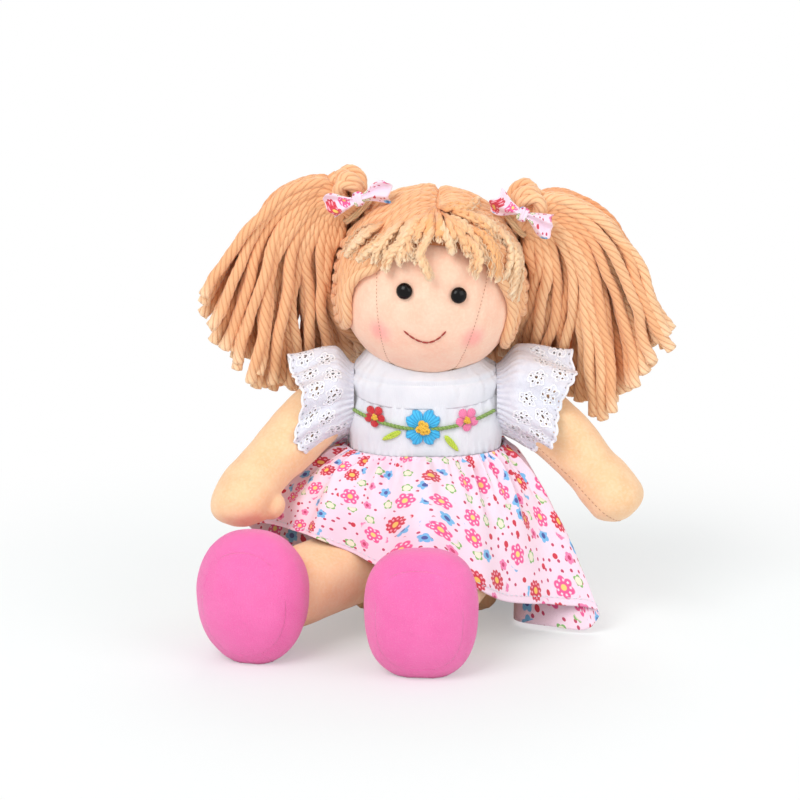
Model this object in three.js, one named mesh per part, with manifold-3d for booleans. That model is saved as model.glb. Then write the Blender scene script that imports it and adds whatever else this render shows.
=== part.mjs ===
// A sitting rag doll in millimetres: +Z up, facing -Y, its right hand towards -X.
// The origin is the middle of the flat seat under the torso, on the surface that the doll sits on.
import * as THREE from 'three';
import { mergeVertices } from 'three/addons/utils/BufferGeometryUtils.js';
import Module from 'manifold-3d';

const wasm = await Module();
wasm.setup();

// Gap between pieces that touch, and how far a cutting solid overruns what it cuts.
const GAP = 0.3;
const OVERRUN = 4;

// Torso: half sizes of its rounded sections and their heights, from the flat seat up.
const torso = {
  seat: new THREE.Vector3(27, 19, 0),
  seatEdge: new THREE.Vector3(33, 24, 6),
  hip: new THREE.Vector3(36, 27, 24),
  belly: new THREE.Vector3(34, 27, 52),
  waist: new THREE.Vector3(31.5, 25, 78),
  chest: new THREE.Vector3(33.5, 23.5, 92),
  shoulder: new THREE.Vector3(31, 20, 103),
  shoulderTop: new THREE.Vector3(24, 13, 110),
  top: new THREE.Vector3(0, 0, 112),
  squareness: 2.6,
};
const dress = { cloth: 1.0, armhole: 16.8, waistHeight: 79, seam: 0.4, neckHollow: 42.3 };
const closure = { width: 8, thickness: 0.8, bottom: 82, top: 94.5, flapOver: 1.2, flapTop: 96 };

// Gathered neck band: half sizes and heights of its lower and upper edges.
const collar = {
  lowX: 29,
  lowY: 23,
  highX: 23,
  highY: 16.5,
  frontLow: 98.5,
  frontHigh: 110.5,
  backHigh: 108.5,
  sideLow: 107.5,
  sideHigh: 113,
  halfCloth: 1.4,
  pleatCount: 12,
  pleat: 0.5,
};

const head = {
  centre: new THREE.Vector3(2, 0, 148),
  half: new THREE.Vector3(38, 36, 39),
  rollDegrees: 4.5,
  neckPivotHeight: 101,
  neckBall: 12.5,
  neckRadius: 11.5,
  neckReach: 14,
  neckClearance: 2.4,
};

// Places on the face are measured from the head's centre.
const eye = {
  x: 11.4,
  z: 4,
  dome: 3.5,
  bulge: 2.6,
  stem: 1.0,
  stemLength: 9,
  washer: 5.5,
  washerThickness: 1.2,
  washerDepth: 4.6,
};
const mouth = { halfWidth: 9.2, cornerHeight: -11.6, middleHeight: -18.2, thread: 0.9 };

// The hairline's angles open from straight ahead, at four shares of the way from brow to nape. The
// yarns thin out over the edge share, and meet at the back where the ways close.
const hair = {
  thickness: 5,
  bed: 1.1,
  browDegrees: 33,
  templeDegrees: 60,
  jawDegrees: 99,
  napeDegrees: 122,
  templeShare: 0.5,
  jawShare: 0.68,
  closeDegrees: 177.3,
  edgeShare: 0.06,
  edgeThinning: 0.35,
  plugShare: 0.7,
};
const yarn = { ridge: 0.9, ridgeCount: 34 };

// Fringe: the tufts' root is measured from the head's centre; shares are of a tuft's own length.
const fringe = {
  tuft: 5.6,
  rootX: 3,
  rootY: -21,
  lift: 2.1,
  lieShare: 0.75,
  count: 8,
  spreadDegrees: 136,
  length: 39,
  sideShare: 0.35,
  unevenShare: 0.12,
  taper: 0.45,
};

// Bunches: where they are tied, measured from the head's centre, and how their fan of yarns hangs.
// Reaches and angles run from the outer yarns to those next to the head.
const bunch = {
  tieAngleDegrees: 46.8,
  tieRadius: 46.6,
  neckRadius: 7,
  neckLength: 9,
  strand: 5.4,
  strandCount: 10,
  outerReach: 80,
  lowReach: 93,
  innerReach: 55,
  lowShare: 0.55,
  innerShare: 0.69,
  outerDegrees: 38,
  innerDegrees: 89,
  outerBendDegrees: 75,
  innerBendDegrees: 30,
  halfThickness: 12.5,
  endThickness: 9.5,
  back: 4,
  innerBack: 13,
  notch: 5,
  loopCount: 4,
  loopRise: 15,
  loopWidth: 14,
};
const band = { width: 3, thickness: 1.2 };
const bow = {
  halfWidth: 13.5,
  height: 12,
  depth: 7,
  stand: 8.5,
  knot: 3.6,
  waistShare: 0.35,
  leanShare: 0.45,
};

const shoulder = { x: 32.3, y: -1, z: 98.5, recess: 15.6 };
const arm = {
  length: 75,
  root: 12.6,
  upper: 13.2,
  wrist: 12,
  palm: 14,
  tipRound: 9.5,
  thumb: 6.2,
  thumbLength: 13,
};

// Middle line of each arm from its shoulder, in shares of its length, and which way its thumb points.
const armRouteShares = {
  right: [
    [0, 0, 0], [-0.133, -0.027, -0.04], [-0.347, -0.2, -0.213],
    [-0.547, -0.36, -0.4], [-0.64, -0.453, -0.547], [-0.66, -0.487, -0.627],
  ],
  left: [
    [0, 0, 0], [0.133, -0.013, -0.04], [0.36, -0.093, -0.2],
    [0.56, -0.173, -0.413], [0.687, -0.227, -0.56], [0.74, -0.253, -0.64],
  ],
};
const thumbWayShares = { right: [0.75, -0.35, -0.55], left: [-0.45, 0.8, -0.2] };

// Sleeve frill: its reach over the shoulder, in front and under the arm, and how far it flares there.
const frill = {
  cloth: 0.9,
  seat: 13.6,
  topReach: 26,
  frontReach: 21,
  underReach: 6,
  flare: 6.8,
  underFlare: 3.4,
  wave: 1.8,
  waveCount: 8,
  topShare: 0.12,
  backShare: 0.6,
};

const leg = { radius: 16.8, hipRadius: 16.2, ankle: 15.5, clearance: 1 };
const hip = { x: 19, y: -15, z: 32 };

// Boot: it opens from its cuff to its full oval by a share of its depth, narrower above than below.
const boot = {
  halfWidth: 23,
  halfHeight: 28.4,
  depth: 38,
  cuff: 17.4,
  fullShare: 0.59,
  topShare: 0.93,
  heelFlat: 0.5,
  seamIn: 1.2,
  seamShare: 0.7,
  soleThickness: 4.5,
  soleEdgeShare: 0.34,
  soleRound: 1.25,
};
const legs = {
  right: { ankle: new THREE.Vector3(-71.5, -56, 23), bootTurnDegrees: -14, hangShare: -0.13 },
  left: { ankle: new THREE.Vector3(-1.5, -74, 24.5), bootTurnDegrees: -5, hangShare: 0.13 },
};

const skirt = {
  length: 80,
  cloth: 1.0,
  foldCount: 16,
  waistFold: 0.8,
  hemFold: 2.6,
  bulge: 7,
  drawIn: 0.4,
  upShare: 0.45,
};

// Hem of the skirt, from the doll's front round by its left side, back and right side, in shares of
// the skirt's length.
const hemShares = [
  [0.025, -0.762, 0.606], [0.237, -0.775, 0.581], [0.375, -0.625, 0.425], [0.525, -0.475, 0.263],
  [0.713, -0.388, 0.175], [0.887, -0.338, 0.119], [0.925, -0.287, 0.056], [0.875, -0.25, 0.02],
  [0.713, -0.2, 0.02], [0.588, -0.075, 0.02], [0.569, 0.1, 0.02], [0.662, 0.3, 0.02],
  [0.537, 0.537, 0.02], [0.225, 0.713, 0.02], [-0.15, 0.713, 0.02], [-0.475, 0.575, 0.062],
  [-0.725, 0.338, 0.225], [-0.887, 0.062, 0.412], [-0.912, -0.113, 0.525], [-0.825, -0.237, 0.581],
  [-0.713, -0.388, 0.594], [-0.562, -0.438, 0.606], [-0.388, -0.475, 0.588], [-0.2, -0.588, 0.531],
];

const flower = { thickness: 1.3, petalPuff: 0.5, centre: 1.6, lay: 0.2 };
const flowers = {
  red: { x: -21.8, z: 95.6, radius: 4.6, petals: 5, centre: 1.6 },
  blue: { x: -1.1, z: 91.6, radius: 8.4, petals: 4, centre: 2.6 },
  pink: { x: 17.8, z: 94.6, radius: 5, petals: 5, centre: 1.8 },
};
const stem = { width: 1.6, leftX: -31, rightX: 30, endHeight: 97, midHeight: 90.8 };
const leaf = { length: 9.5, width: 2.4, droopDegrees: 38, x: 7.2, z: 91.4 };

const degrees = THREE.MathUtils.degToRad;
const smooth = THREE.MathUtils.smoothstep;
const mix = THREE.MathUtils.lerp;

// Indexed triangles to a solid that faces out.
function meshFrom(points, faces) {
  const geometry = new THREE.BufferGeometry();
  const places = points.flatMap((point) => [point.x, point.y, point.z]);
  geometry.setAttribute('position', new THREE.Float32BufferAttribute(places, 3));
  let volume = 0;
  for (const [a, b, c] of faces) volume += points[a].dot(points[b].clone().cross(points[c]));
  geometry.setIndex(volume > 0 ? faces.flat() : faces.flatMap(([a, b, c]) => [a, c, b]));
  return geometry;
}

// A closed skin of rings between two end points: at(turn, along) with turn and along from 0 to 1.
function ringSolid(steps, rings, at, start, end) {
  const points = [];
  const faces = [];
  for (let j = 0; j < rings; j++) {
    for (let i = 0; i < steps; i++) points.push(at(i / steps, j / (rings - 1)));
  }
  const first = points.push(start) - 1;
  const last = points.push(end) - 1;
  for (let i = 0; i < steps; i++) {
    const next = (i + 1) % steps;
    faces.push([first, next, i]);
    faces.push([last, (rings - 1) * steps + i, (rings - 1) * steps + next]);
    for (let j = 0; j < rings - 1; j++) {
      const a = j * steps + i;
      const b = j * steps + next;
      faces.push([a, b, a + steps], [b, b + steps, a + steps]);
    }
  }
  return meshFrom(points, faces);
}

// A sheet with two faces and its edges: outer and inner give points for (across, along) from 0 to 1.
function sheetSolid(columns, rows, outer, inner, closed) {
  const across = closed ? columns : columns + 1;
  const points = [];
  const faces = [];
  for (const side of [outer, inner]) {
    for (let j = 0; j <= rows; j++) {
      for (let i = 0; i < across; i++) points.push(side(i / columns, j / rows));
    }
  }
  const at = (side, i, j) => side * across * (rows + 1) + j * across + (i % across);
  const quad = (a, b, c, d) => faces.push([a, b, c], [a, c, d]);
  for (let i = 0; i < columns; i++) {
    for (let j = 0; j < rows; j++) {
      quad(at(0, i, j), at(0, i + 1, j), at(0, i + 1, j + 1), at(0, i, j + 1));
      quad(at(1, i, j), at(1, i, j + 1), at(1, i + 1, j + 1), at(1, i + 1, j));
    }
    quad(at(0, i, 0), at(1, i, 0), at(1, i + 1, 0), at(0, i + 1, 0));
    quad(at(0, i, rows), at(0, i + 1, rows), at(1, i + 1, rows), at(1, i, rows));
  }
  for (let j = 0; !closed && j < rows; j++) {
    quad(at(0, 0, j), at(0, 0, j + 1), at(1, 0, j + 1), at(1, 0, j));
    quad(at(0, columns, j), at(1, columns, j), at(1, columns, j + 1), at(0, columns, j + 1));
  }
  return meshFrom(points, faces);
}

function solid(geometry) {
  const bare = geometry.clone();
  bare.deleteAttribute('normal');
  bare.deleteAttribute('uv');
  const merged = mergeVertices(bare);
  return new wasm.Manifold(new wasm.Mesh({
    numProp: 3,
    vertProperties: new Float32Array(merged.attributes.position.array),
    triVerts: new Uint32Array(merged.index.array),
  }));
}

function geometryOf(body) {
  const mesh = body.getMesh();
  const geometry = new THREE.BufferGeometry();
  geometry.setAttribute('position', new THREE.Float32BufferAttribute(mesh.vertProperties, 3));
  geometry.setIndex([...mesh.triVerts]);
  return geometry;
}

function cut(base, ...tools) {
  return geometryOf(tools.reduce((left, tool) => left.subtract(solid(tool)), solid(base)));
}

function join(first, ...others) {
  return geometryOf(others.reduce((all, part) => all.add(solid(part)), solid(first)));
}

// Fills the pockets that close up inside a joined body, such as those between fused strands.
function filled(geometry) {
  const shells = solid(geometry).decompose().filter((shell) => shell.volume() > 0);
  return geometryOf(shells.reduce((all, shell) => all.add(shell)));
}
const moved = (geometry, x, y, z) => geometry.clone().translate(x, y, z);

// A block between two corners.
function block(low, high) {
  const box = new THREE.BoxGeometry(high.x - low.x, high.y - low.y, high.z - low.z);
  return box.translate((low.x + high.x) / 2, (low.y + high.y) / 2, (low.z + high.z) / 2);
}

// A round limb along a curve, its radius given for each share of the way; flatten narrows it sideways.
function limb(curve, steps, rings, radiusAt, flatten = () => 1) {
  const frames = curve.computeFrenetFrames(rings - 1, false);
  const at = (turn, along) => {
    const k = Math.round(along * (rings - 1));
    const angle = turn * 2 * Math.PI;
    const radius = radiusAt(along);
    return curve.getPointAt(along)
      .addScaledVector(frames.normals[k], radius * Math.cos(angle))
      .addScaledVector(frames.binormals[k], radius * flatten(along) * Math.sin(angle));
  };
  return ringSolid(steps, rings, at, curve.getPointAt(0), curve.getPointAt(1));
}

// Rounds a limb's end: a share of the full radius over the last stretch of its length.
const roundEnd = (along, length, radius) => {
  const left = (1 - along) * length;
  return left >= radius ? 1 : Math.sqrt(Math.max(1 - (1 - left / radius) ** 2, 0.02));
};

const skin = new THREE.MeshStandardMaterial({ color: 0xf4cda0, roughness: 0.9 });
const whiteCotton = new THREE.MeshStandardMaterial({ color: 0xf2f2f8, roughness: 0.85 });
const printCotton = new THREE.MeshStandardMaterial({ color: 0xfae0ee, roughness: 0.85 });
const yarnWool = new THREE.MeshStandardMaterial({ color: 0xeebb80, roughness: 0.95 });
const blackPlastic = new THREE.MeshStandardMaterial({ color: 0x0c0a0a, roughness: 0.15 });
const whitePlastic = new THREE.MeshStandardMaterial({ color: 0xe8e8e4, roughness: 0.5 });
const felt = new THREE.MeshStandardMaterial({ color: 0xff6eb4, roughness: 1 });
const elastic = new THREE.MeshStandardMaterial({ color: 0xe9c79a, roughness: 0.8 });
const thread = (color) => new THREE.MeshStandardMaterial({ color, roughness: 0.7 });

const doll = new THREE.Group();
function add(name, geometry, material) {
  const ready = geometry.index ? geometry.toNonIndexed() : geometry.clone();
  ready.computeVertexNormals();
  const mesh = new THREE.Mesh(ready, material);
  mesh.name = name;
  doll.add(mesh);
}

// The torso's rounded section at a share of its height; grow makes the same form larger all round.
const torsoLine = new THREE.CatmullRomCurve3([
  torso.seat, torso.seatEdge, torso.hip, torso.belly, torso.waist,
  torso.chest, torso.shoulder, torso.shoulderTop,
], false, 'centripetal');

function rounded(halfWidth, halfDepth, turn, squareness) {
  const angle = turn * 2 * Math.PI;
  const c = Math.cos(angle);
  const s = Math.sin(angle);
  const power = 2 / squareness;
  return [
    Math.sign(s) * halfWidth * Math.abs(s) ** power,
    -Math.sign(c) * halfDepth * Math.abs(c) ** power,
  ];
}

function torsoForm(grow, steps = 26, rings = 11) {
  const at = (turn, along) => {
    const size = torsoLine.getPoint(along);
    const [x, y] = rounded(size.x + grow, size.y + grow, turn, torso.squareness);
    return new THREE.Vector3(x, y, size.z + grow * smooth(along, 0.8, 1));
  };
  const under = new THREE.Vector3(0, 0, torso.seat.z);
  const over = new THREE.Vector3(0, 0, torso.top.z + grow);
  return ringSolid(steps, rings, at, under, over);
}

// How far forward the dressed torso reaches at a place on its front.
function frontAt(x, z, grow) {
  let low = 0;
  let high = 1;
  for (let i = 0; i < 30; i++) {
    const middle = (low + high) / 2;
    if (torsoLine.getPoint(middle).z < z) low = middle;
    else high = middle;
  }
  const size = torsoLine.getPoint(low);
  const share = Math.min(Math.abs(x) / (size.x + grow), 1);
  return -(size.y + grow) * (1 - share ** torso.squareness) ** (1 / torso.squareness);
}

const neckPivot = new THREE.Vector3(0, 0, head.neckPivotHeight);
const neckSocket = (radius) =>
  moved(new THREE.SphereGeometry(radius, 14, 8), neckPivot.x, neckPivot.y, neckPivot.z);

function upright(radius, low, high) {
  const post = new THREE.CylinderGeometry(radius, radius, high - low, 14);
  return post.rotateX(Math.PI / 2).translate(0, 0, (low + high) / 2);
}
const headHollow = moved(new THREE.SphereGeometry(dress.neckHollow, 20, 14), 0, 0, head.centre.z);

const shoulderPoint = (side) => new THREE.Vector3(side * shoulder.x, shoulder.y, shoulder.z);
const armhole = (side, radius, from) => {
  const length = torso.shoulder.x;
  const hole = new THREE.CylinderGeometry(radius, radius, length, 18).rotateZ(Math.PI / 2);
  return hole.translate(side * (from + length / 2), shoulder.y, shoulder.z);
};

// Legs: each goes from its hip to its ankle at rest, and hangs down when the doll is held up.
const hipPoint = (side) => new THREE.Vector3(side * hip.x, hip.y, hip.z);
const legWay = (side) => {
  const plan = side < 0 ? legs.right : legs.left;
  const restWay = plan.ankle.clone().sub(hipPoint(side)).normalize();
  const hangWay = new THREE.Vector3(plan.hangShare, 0, -1).normalize();
  return { plan, restWay, hangWay, axis: new THREE.Vector3().crossVectors(restWay, hangWay).normalize() };
};

// The space that a thigh sweeps from sitting to hanging: a slice of a disc with both end cylinders.
function legSweep(side) {
  const { restWay, hangWay, axis } = legWay(side);
  const radius = leg.radius + leg.clearance;
  const reach = torso.hip.x + torso.hip.y;
  const centre = hipPoint(side);
  const across = new THREE.Vector3().crossVectors(axis, restWay);
  const angle = restWay.angleTo(hangWay);
  const slice = new THREE.Shape();
  slice.moveTo(0, 0);
  slice.lineTo(reach, 0);
  slice.absarc(0, 0, reach, 0, angle, false);
  slice.closePath();
  const wide = { depth: 2 * radius, bevelEnabled: false, curveSegments: 6 };
  const wedge = new THREE.ExtrudeGeometry(slice, wide).translate(0, 0, -radius);
  wedge.applyMatrix4(new THREE.Matrix4().makeBasis(restWay, across, axis).setPosition(centre));
  const rod = (way) => {
    const cylinder = new THREE.CylinderGeometry(radius, radius, reach, 14).translate(0, reach / 2, 0);
    cylinder.applyQuaternion(new THREE.Quaternion().setFromUnitVectors(new THREE.Vector3(0, 1, 0), way));
    return moved(cylinder, centre.x, centre.y, centre.z);
  };
  const ball = moved(new THREE.SphereGeometry(radius, 14, 8), centre.x, centre.y, centre.z);
  return [wedge, rod(restWay), rod(hangWay), ball];
}

function buildTorso() {
  const wellRadius = head.neckRadius + head.neckClearance;
  const neckWell = upright(wellRadius, neckPivot.z + GAP, torso.top.z + OVERRUN);
  add('torso', cut(
    torsoForm(0),
    headHollow,
    neckSocket(head.neckBall + GAP),
    neckWell,
    armhole(-1, shoulder.recess, shoulder.x - GAP),
    armhole(1, shoulder.recess, shoulder.x - GAP),
    ...legSweep(-1),
    ...legSweep(1),
  ), skin);
}

// Bodice: a shell of cotton over the torso, in a front and two back panels with an opening between.
function buildBodice() {
  const outer = torsoForm(GAP + dress.cloth);
  const inner = torsoForm(GAP);
  const wide = torso.hip.x + OVERRUN;
  const deep = torso.hip.y + OVERRUN;
  const keep = block(
    new THREE.Vector3(-wide, -deep, dress.waistHeight),
    new THREE.Vector3(wide, deep, torso.top.z + OVERRUN),
  );
  const shell = solid(outer)
    .subtract(solid(inner))
    .intersect(solid(keep))
    .subtract(solid(headHollow))
    .subtract(solid(armhole(-1, dress.armhole, dress.waistHeight / 4)))
    .subtract(solid(armhole(1, dress.armhole, dress.waistHeight / 4)));
  const seam = dress.seam / 2;
  const high = torso.top.z + OVERRUN;
  const frontKeep = block(new THREE.Vector3(-wide, -deep, 0), new THREE.Vector3(wide, -seam, high));
  add('bodice_front', geometryOf(shell.intersect(solid(frontKeep))), whiteCotton);
  for (const side of [-1, 1]) {
    const backKeep = side < 0
      ? block(new THREE.Vector3(-wide, seam, 0), new THREE.Vector3(-seam, deep, high))
      : block(new THREE.Vector3(seam, seam, 0), new THREE.Vector3(wide, deep, high));
    const panel = shell.intersect(solid(backKeep));
    if (side < 0) add('bodice_back_right', geometryOf(panel), whiteCotton);
    else add('bodice_back_left', geometryOf(panel.add(closureFlap())), whiteCotton);
  }
}

// A band of the torso's form between two offsets, kept within a width and two heights at the back.
function backBand(from, thickness, left, right, low, high) {
  const band = solid(torsoForm(from + thickness)).subtract(solid(torsoForm(from)));
  const deep = torso.hip.y + OVERRUN;
  const keep = block(new THREE.Vector3(left, 0, low), new THREE.Vector3(right, deep, high));
  return band.intersect(solid(keep));
}

// Closing strips down the middle of the back: the loop strip on the cotton, the hook strip on it.
function buildClosure() {
  const half = closure.width / 2;
  const first = GAP + dress.cloth + GAP;
  const second = first + closure.thickness + GAP;
  const place = [closure.thickness, -half, half, closure.bottom, closure.top];
  add('loop_strip', geometryOf(backBand(first, ...place)), whitePlastic);
  add('hook_strip', geometryOf(backBand(second, ...place)), whitePlastic);
}

// The flap of the left back panel, which laps over the closing strips from its own side of them.
function closureFlap() {
  const half = closure.width / 2;
  const lift = GAP + dress.cloth + 2 * (GAP + closure.thickness) + GAP;
  const edge = half + GAP;
  const side = edge + dress.cloth;
  const heights = [dress.waistHeight, closure.flapTop];
  const over = backBand(lift, dress.cloth, -half - closure.flapOver, side, ...heights);
  const wall = backBand(GAP, lift + dress.cloth - GAP, edge, side, ...heights);
  return over.add(wall);
}

// Gathered neck band: a ring that lies on the bodice round the neck.
function buildCollar() {
  const at = (grow) => (turn, along) => {
    const angle = turn * 2 * Math.PI;
    const side = Math.sin(angle) ** 2;
    const pleat = collar.pleat * Math.cos(angle * collar.pleatCount) * (1 - along);
    const [x, y] = rounded(
      mix(collar.lowX, collar.highX, along) + grow + pleat,
      mix(collar.lowY, collar.highY, along) + grow + pleat,
      turn, torso.squareness,
    );
    const low = mix(collar.frontLow, collar.sideLow, side);
    const middleHigh = Math.cos(angle) > 0 ? collar.frontHigh : collar.backHigh;
    const high = mix(middleHigh, collar.sideHigh, side);
    return new THREE.Vector3(x, y, mix(low, high, along) + grow);
  };
  const ring = sheetSolid(36, 2, at(collar.halfCloth), at(-collar.halfCloth), true);
  const cleared = solid(ring)
    .subtract(solid(torsoForm(GAP + dress.cloth + GAP)))
    .subtract(solid(headHollow));
  const pieces = cleared.decompose().sort((a, b) => b.volume() - a.volume());
  add('collar', geometryOf(pieces[0]), whiteCotton);
}

// Skirt: gathered at the waist, with folds that deepen towards the hem and a hem that follows its rest.
const hemPoints = hemShares.map((share) => new THREE.Vector3(...share).multiplyScalar(skirt.length));
const hemLine = new THREE.CatmullRomCurve3(hemPoints, true, 'centripetal');

function skirtPoint(turn, along, out) {
  const edge = hemLine.getPoint(turn);
  const grow = GAP + dress.cloth + GAP;
  const [x, y] = rounded(torso.waist.x + grow, torso.waist.y + grow, turn, torso.squareness);
  const point = new THREE.Vector3(x, y, dress.waistHeight - GAP - skirt.waistFold).lerp(edge, along);
  const swell = skirt.bulge * Math.sin(Math.PI * along) * (1 - skirt.drawIn * along);
  const fold = Math.cos(turn * 2 * Math.PI * skirt.foldCount) * mix(skirt.waistFold, skirt.hemFold, along);
  const clear = smooth(edge.z, skirt.hemFold, 3 * skirt.hemFold);
  const outward = new THREE.Vector3(edge.x, edge.y, 0).normalize().setZ(skirt.upShare).normalize();
  return point.addScaledVector(outward, swell + fold * mix(1, clear, along ** 4) + out);
}

function buildSkirt() {
  const cloth = sheetSolid(
    5 * skirt.foldCount, 4,
    (turn, along) => skirtPoint(turn, along, skirt.cloth + skirt.waistFold),
    (turn, along) => skirtPoint(turn, along, skirt.waistFold),
    true,
  );
  add('skirt', cloth, printCotton);
}

// The embroidery lies on the bodice's front, each piece bent to it.
const onFront = (x, z, lift) => new THREE.Vector3(x, frontAt(x, z, GAP + dress.cloth + GAP) - lift, z);

function patch(columns, rows, place, thickness) {
  return sheetSolid(
    columns, rows,
    (across, along) => onFront(...place(across, along), thickness(across, along)),
    (across, along) => onFront(...place(across, along), 0),
    false,
  );
}

function blossom({ x, z, radius, petals }, thickness) {
  const turns = petals * 6;
  const edge = (turn) => radius * (0.72 + 0.28 * Math.abs(Math.sin(turn * Math.PI * petals)) ** 0.7);
  const at = (lift) => (turn, share) => {
    const angle = turn * 2 * Math.PI;
    const reach = edge(turn) * share;
    return onFront(x + reach * Math.sin(angle), z + reach * Math.cos(angle), lift);
  };
  const front = at(thickness);
  const rings = (turn, along) => {
    if (along < 0.5) return at(0)(turn, 1);
    return along < 1 ? front(turn, 1) : front(turn, 0.5);
  };
  return ringSolid(turns, 3, rings, onFront(x, z, 0), onFront(x, z, thickness + flower.petalPuff));
}

function buildFlowers() {
  const colours = { red: 0xd71e2c, blue: 0x32b4eb, pink: 0xfa82af };
  const lift = stem.width + GAP;
  for (const [name, plan] of Object.entries(flowers)) {
    const petals = moved(blossom(plan, flower.thickness), 0, -lift, 0);
    add(`${name}_flower`, petals, thread(colours[name]));
    const dome = closedDome(plan.centre, flower.centre).rotateX(Math.PI / 2);
    const face = onFront(plan.x, plan.z, lift + flower.thickness + flower.petalPuff + GAP + flower.lay);
    add(`${name}_flower_centre`, moved(dome, face.x, face.y, face.z), thread(0xfac83c));
  }
}

// A dome on a flat face, standing on z = 0.
function closedDome(radius, height, steps = 12) {
  const profile = [new THREE.Vector2(0, 0), new THREE.Vector2(radius, 0)];
  for (let i = 1; i < 4; i++) {
    const angle = (i / 4) * (Math.PI / 2);
    profile.push(new THREE.Vector2(radius * Math.cos(angle), height * Math.sin(angle)));
  }
  profile.push(new THREE.Vector2(0, height));
  return new THREE.LatheGeometry(profile, steps).rotateX(Math.PI / 2);
}

function buildStem() {
  const rise = (x) => {
    const share = (x - stem.leftX) / (stem.rightX - stem.leftX);
    return mix(stem.endHeight, stem.midHeight, Math.sin(Math.PI * share));
  };
  const bar = patch(
    16, 1,
    (across, along) => {
      const x = mix(stem.leftX, stem.rightX, across);
      return [x, rise(x) + (along - 0.5) * stem.width];
    },
    () => stem.width / 2,
  );
  add('embroidered_stem', bar, thread(0x82a550));
  for (const side of [-1, 1]) {
    const way = degrees(leaf.droopDegrees);
    const shape = patch(
      8, 2,
      (across, along) => {
        const reach = across * leaf.length;
        const swell = Math.sin(Math.PI * Math.min(across + 0.08, 0.94));
        const half = (along - 0.5) * leaf.width * (0.25 + swell);
        const x = leaf.x + reach * Math.cos(way) + half * Math.sin(way);
        return [side * x, leaf.z - stem.width - GAP - reach * Math.sin(way) + half * Math.cos(way)];
      },
      () => stem.width / 2,
    );
    add(side < 0 ? 'right_leaf' : 'left_leaf', shape, thread(0xd2e650));
  }
}

// Head: everything on it is made upright round the head's centre and then leans with it.
const headRoll = new THREE.Matrix4()
  .makeRotationY(degrees(head.rollDegrees))
  .setPosition(head.centre);
const onHead = (geometry) => geometry.applyMatrix4(headRoll);

// Point of the head's ball at a place seen from the front, raised off its skin.
function facePoint(x, z, raise) {
  const half = head.half;
  const depth = half.y * Math.sqrt(1 - (x / half.x) ** 2 - (z / half.z) ** 2);
  const point = new THREE.Vector3(x, -depth, z);
  const normal = new THREE.Vector3(x / half.x ** 2, -depth / half.y ** 2, z / half.z ** 2).normalize();
  return { point: point.addScaledVector(normal, raise), normal };
}

function ballForm(grow, steps, rings) {
  const ball = new THREE.SphereGeometry(1, steps, rings);
  return ball.scale(head.half.x + grow, head.half.y + grow, head.half.z + grow);
}

// Turns a lathed piece, made along +Z, to stand on the face, and sinks it by a depth.
function stoodOnFace(geometry, x, z, raise) {
  const { point, normal } = facePoint(x, z, raise);
  geometry.applyQuaternion(new THREE.Quaternion().setFromUnitVectors(new THREE.Vector3(0, 0, 1), normal));
  return geometry.translate(point.x, point.y, point.z);
}

const turned = (profile, steps = 10) =>
  new THREE.LatheGeometry(profile.map(([r, z]) => new THREE.Vector2(r, z)), steps).rotateX(Math.PI / 2);

function buildHead() {
  const tools = [];
  for (const side of [-1, 1]) {
    const hole = eye.stem + GAP;
    const pocket = eye.washer + GAP;
    const top = -eye.washerDepth + GAP;
    const bottom = -eye.washerDepth - eye.washerThickness - GAP;
    const end = -eye.stemLength - GAP;
    const bore = turned([[0, end], [hole, end], [hole, OVERRUN], [0, OVERRUN]]);
    const seat = turned([[0, bottom], [pocket, bottom], [pocket, top], [0, top]]);
    for (const tool of [bore, seat]) tools.push(onHead(stoodOnFace(tool, side * eye.x, eye.z, 0)));
  }
  const ball = onHead(ballForm(0, 24, 14));
  const post = upright(head.neckRadius, neckPivot.z, neckPivot.z + head.neckReach);
  const neck = join(neckSocket(head.neckBall), post);
  add('head', cut(join(ball, neck), ...tools), skin);
}

function buildEyes() {
  for (const side of [-1, 1]) {
    const name = side < 0 ? 'right_eye' : 'left_eye';
    const bed = GAP + (eye.dome ** 2) / (2 * head.half.y);
    const stemEnd = -eye.stemLength - bed;
    const profile = [[0, stemEnd], [eye.stem, stemEnd], [eye.stem, 0], [eye.dome, 0]];
    for (let i = 1; i <= 4; i++) {
      const angle = (i / 4) * (Math.PI / 2);
      profile.push([i === 4 ? 0 : eye.dome * Math.cos(angle), eye.bulge * Math.sin(angle)]);
    }
    add(name, onHead(stoodOnFace(turned(profile), side * eye.x, eye.z, bed)), blackPlastic);
    const bore = eye.stem + GAP;
    const rim = eye.washer;
    const under = -eye.washerThickness;
    const washer = turned([[bore, under], [rim, under], [rim, 0], [bore, 0], [bore, under]]);
    const seated = stoodOnFace(washer, side * eye.x, eye.z, -eye.washerDepth);
    add(`${name}_washer`, onHead(seated), whitePlastic);
  }
}

function buildMouth() {
  const route = [-1, -0.75, -0.5, -0.25, 0, 0.25, 0.5, 0.75, 1].map((share) => {
    const z = mix(mouth.middleHeight, mouth.cornerHeight, Math.abs(share) ** 1.8);
    return facePoint(share * mouth.halfWidth, z, GAP + mouth.thread / 2).point;
  });
  const curve = new THREE.CatmullRomCurve3(route);
  const radius = mouth.thread / 2;
  add('mouth', onHead(limb(curve, 5, 13, () => radius)), thread(0xaa3223));
}

// Hair laid over the head: a shell with yarn ridges that run to the ties, open round the face.
const tieWay = (side) => new THREE.Vector3(
  side * Math.sin(degrees(bunch.tieAngleDegrees)), 0, Math.cos(degrees(bunch.tieAngleDegrees)),
);

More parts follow.
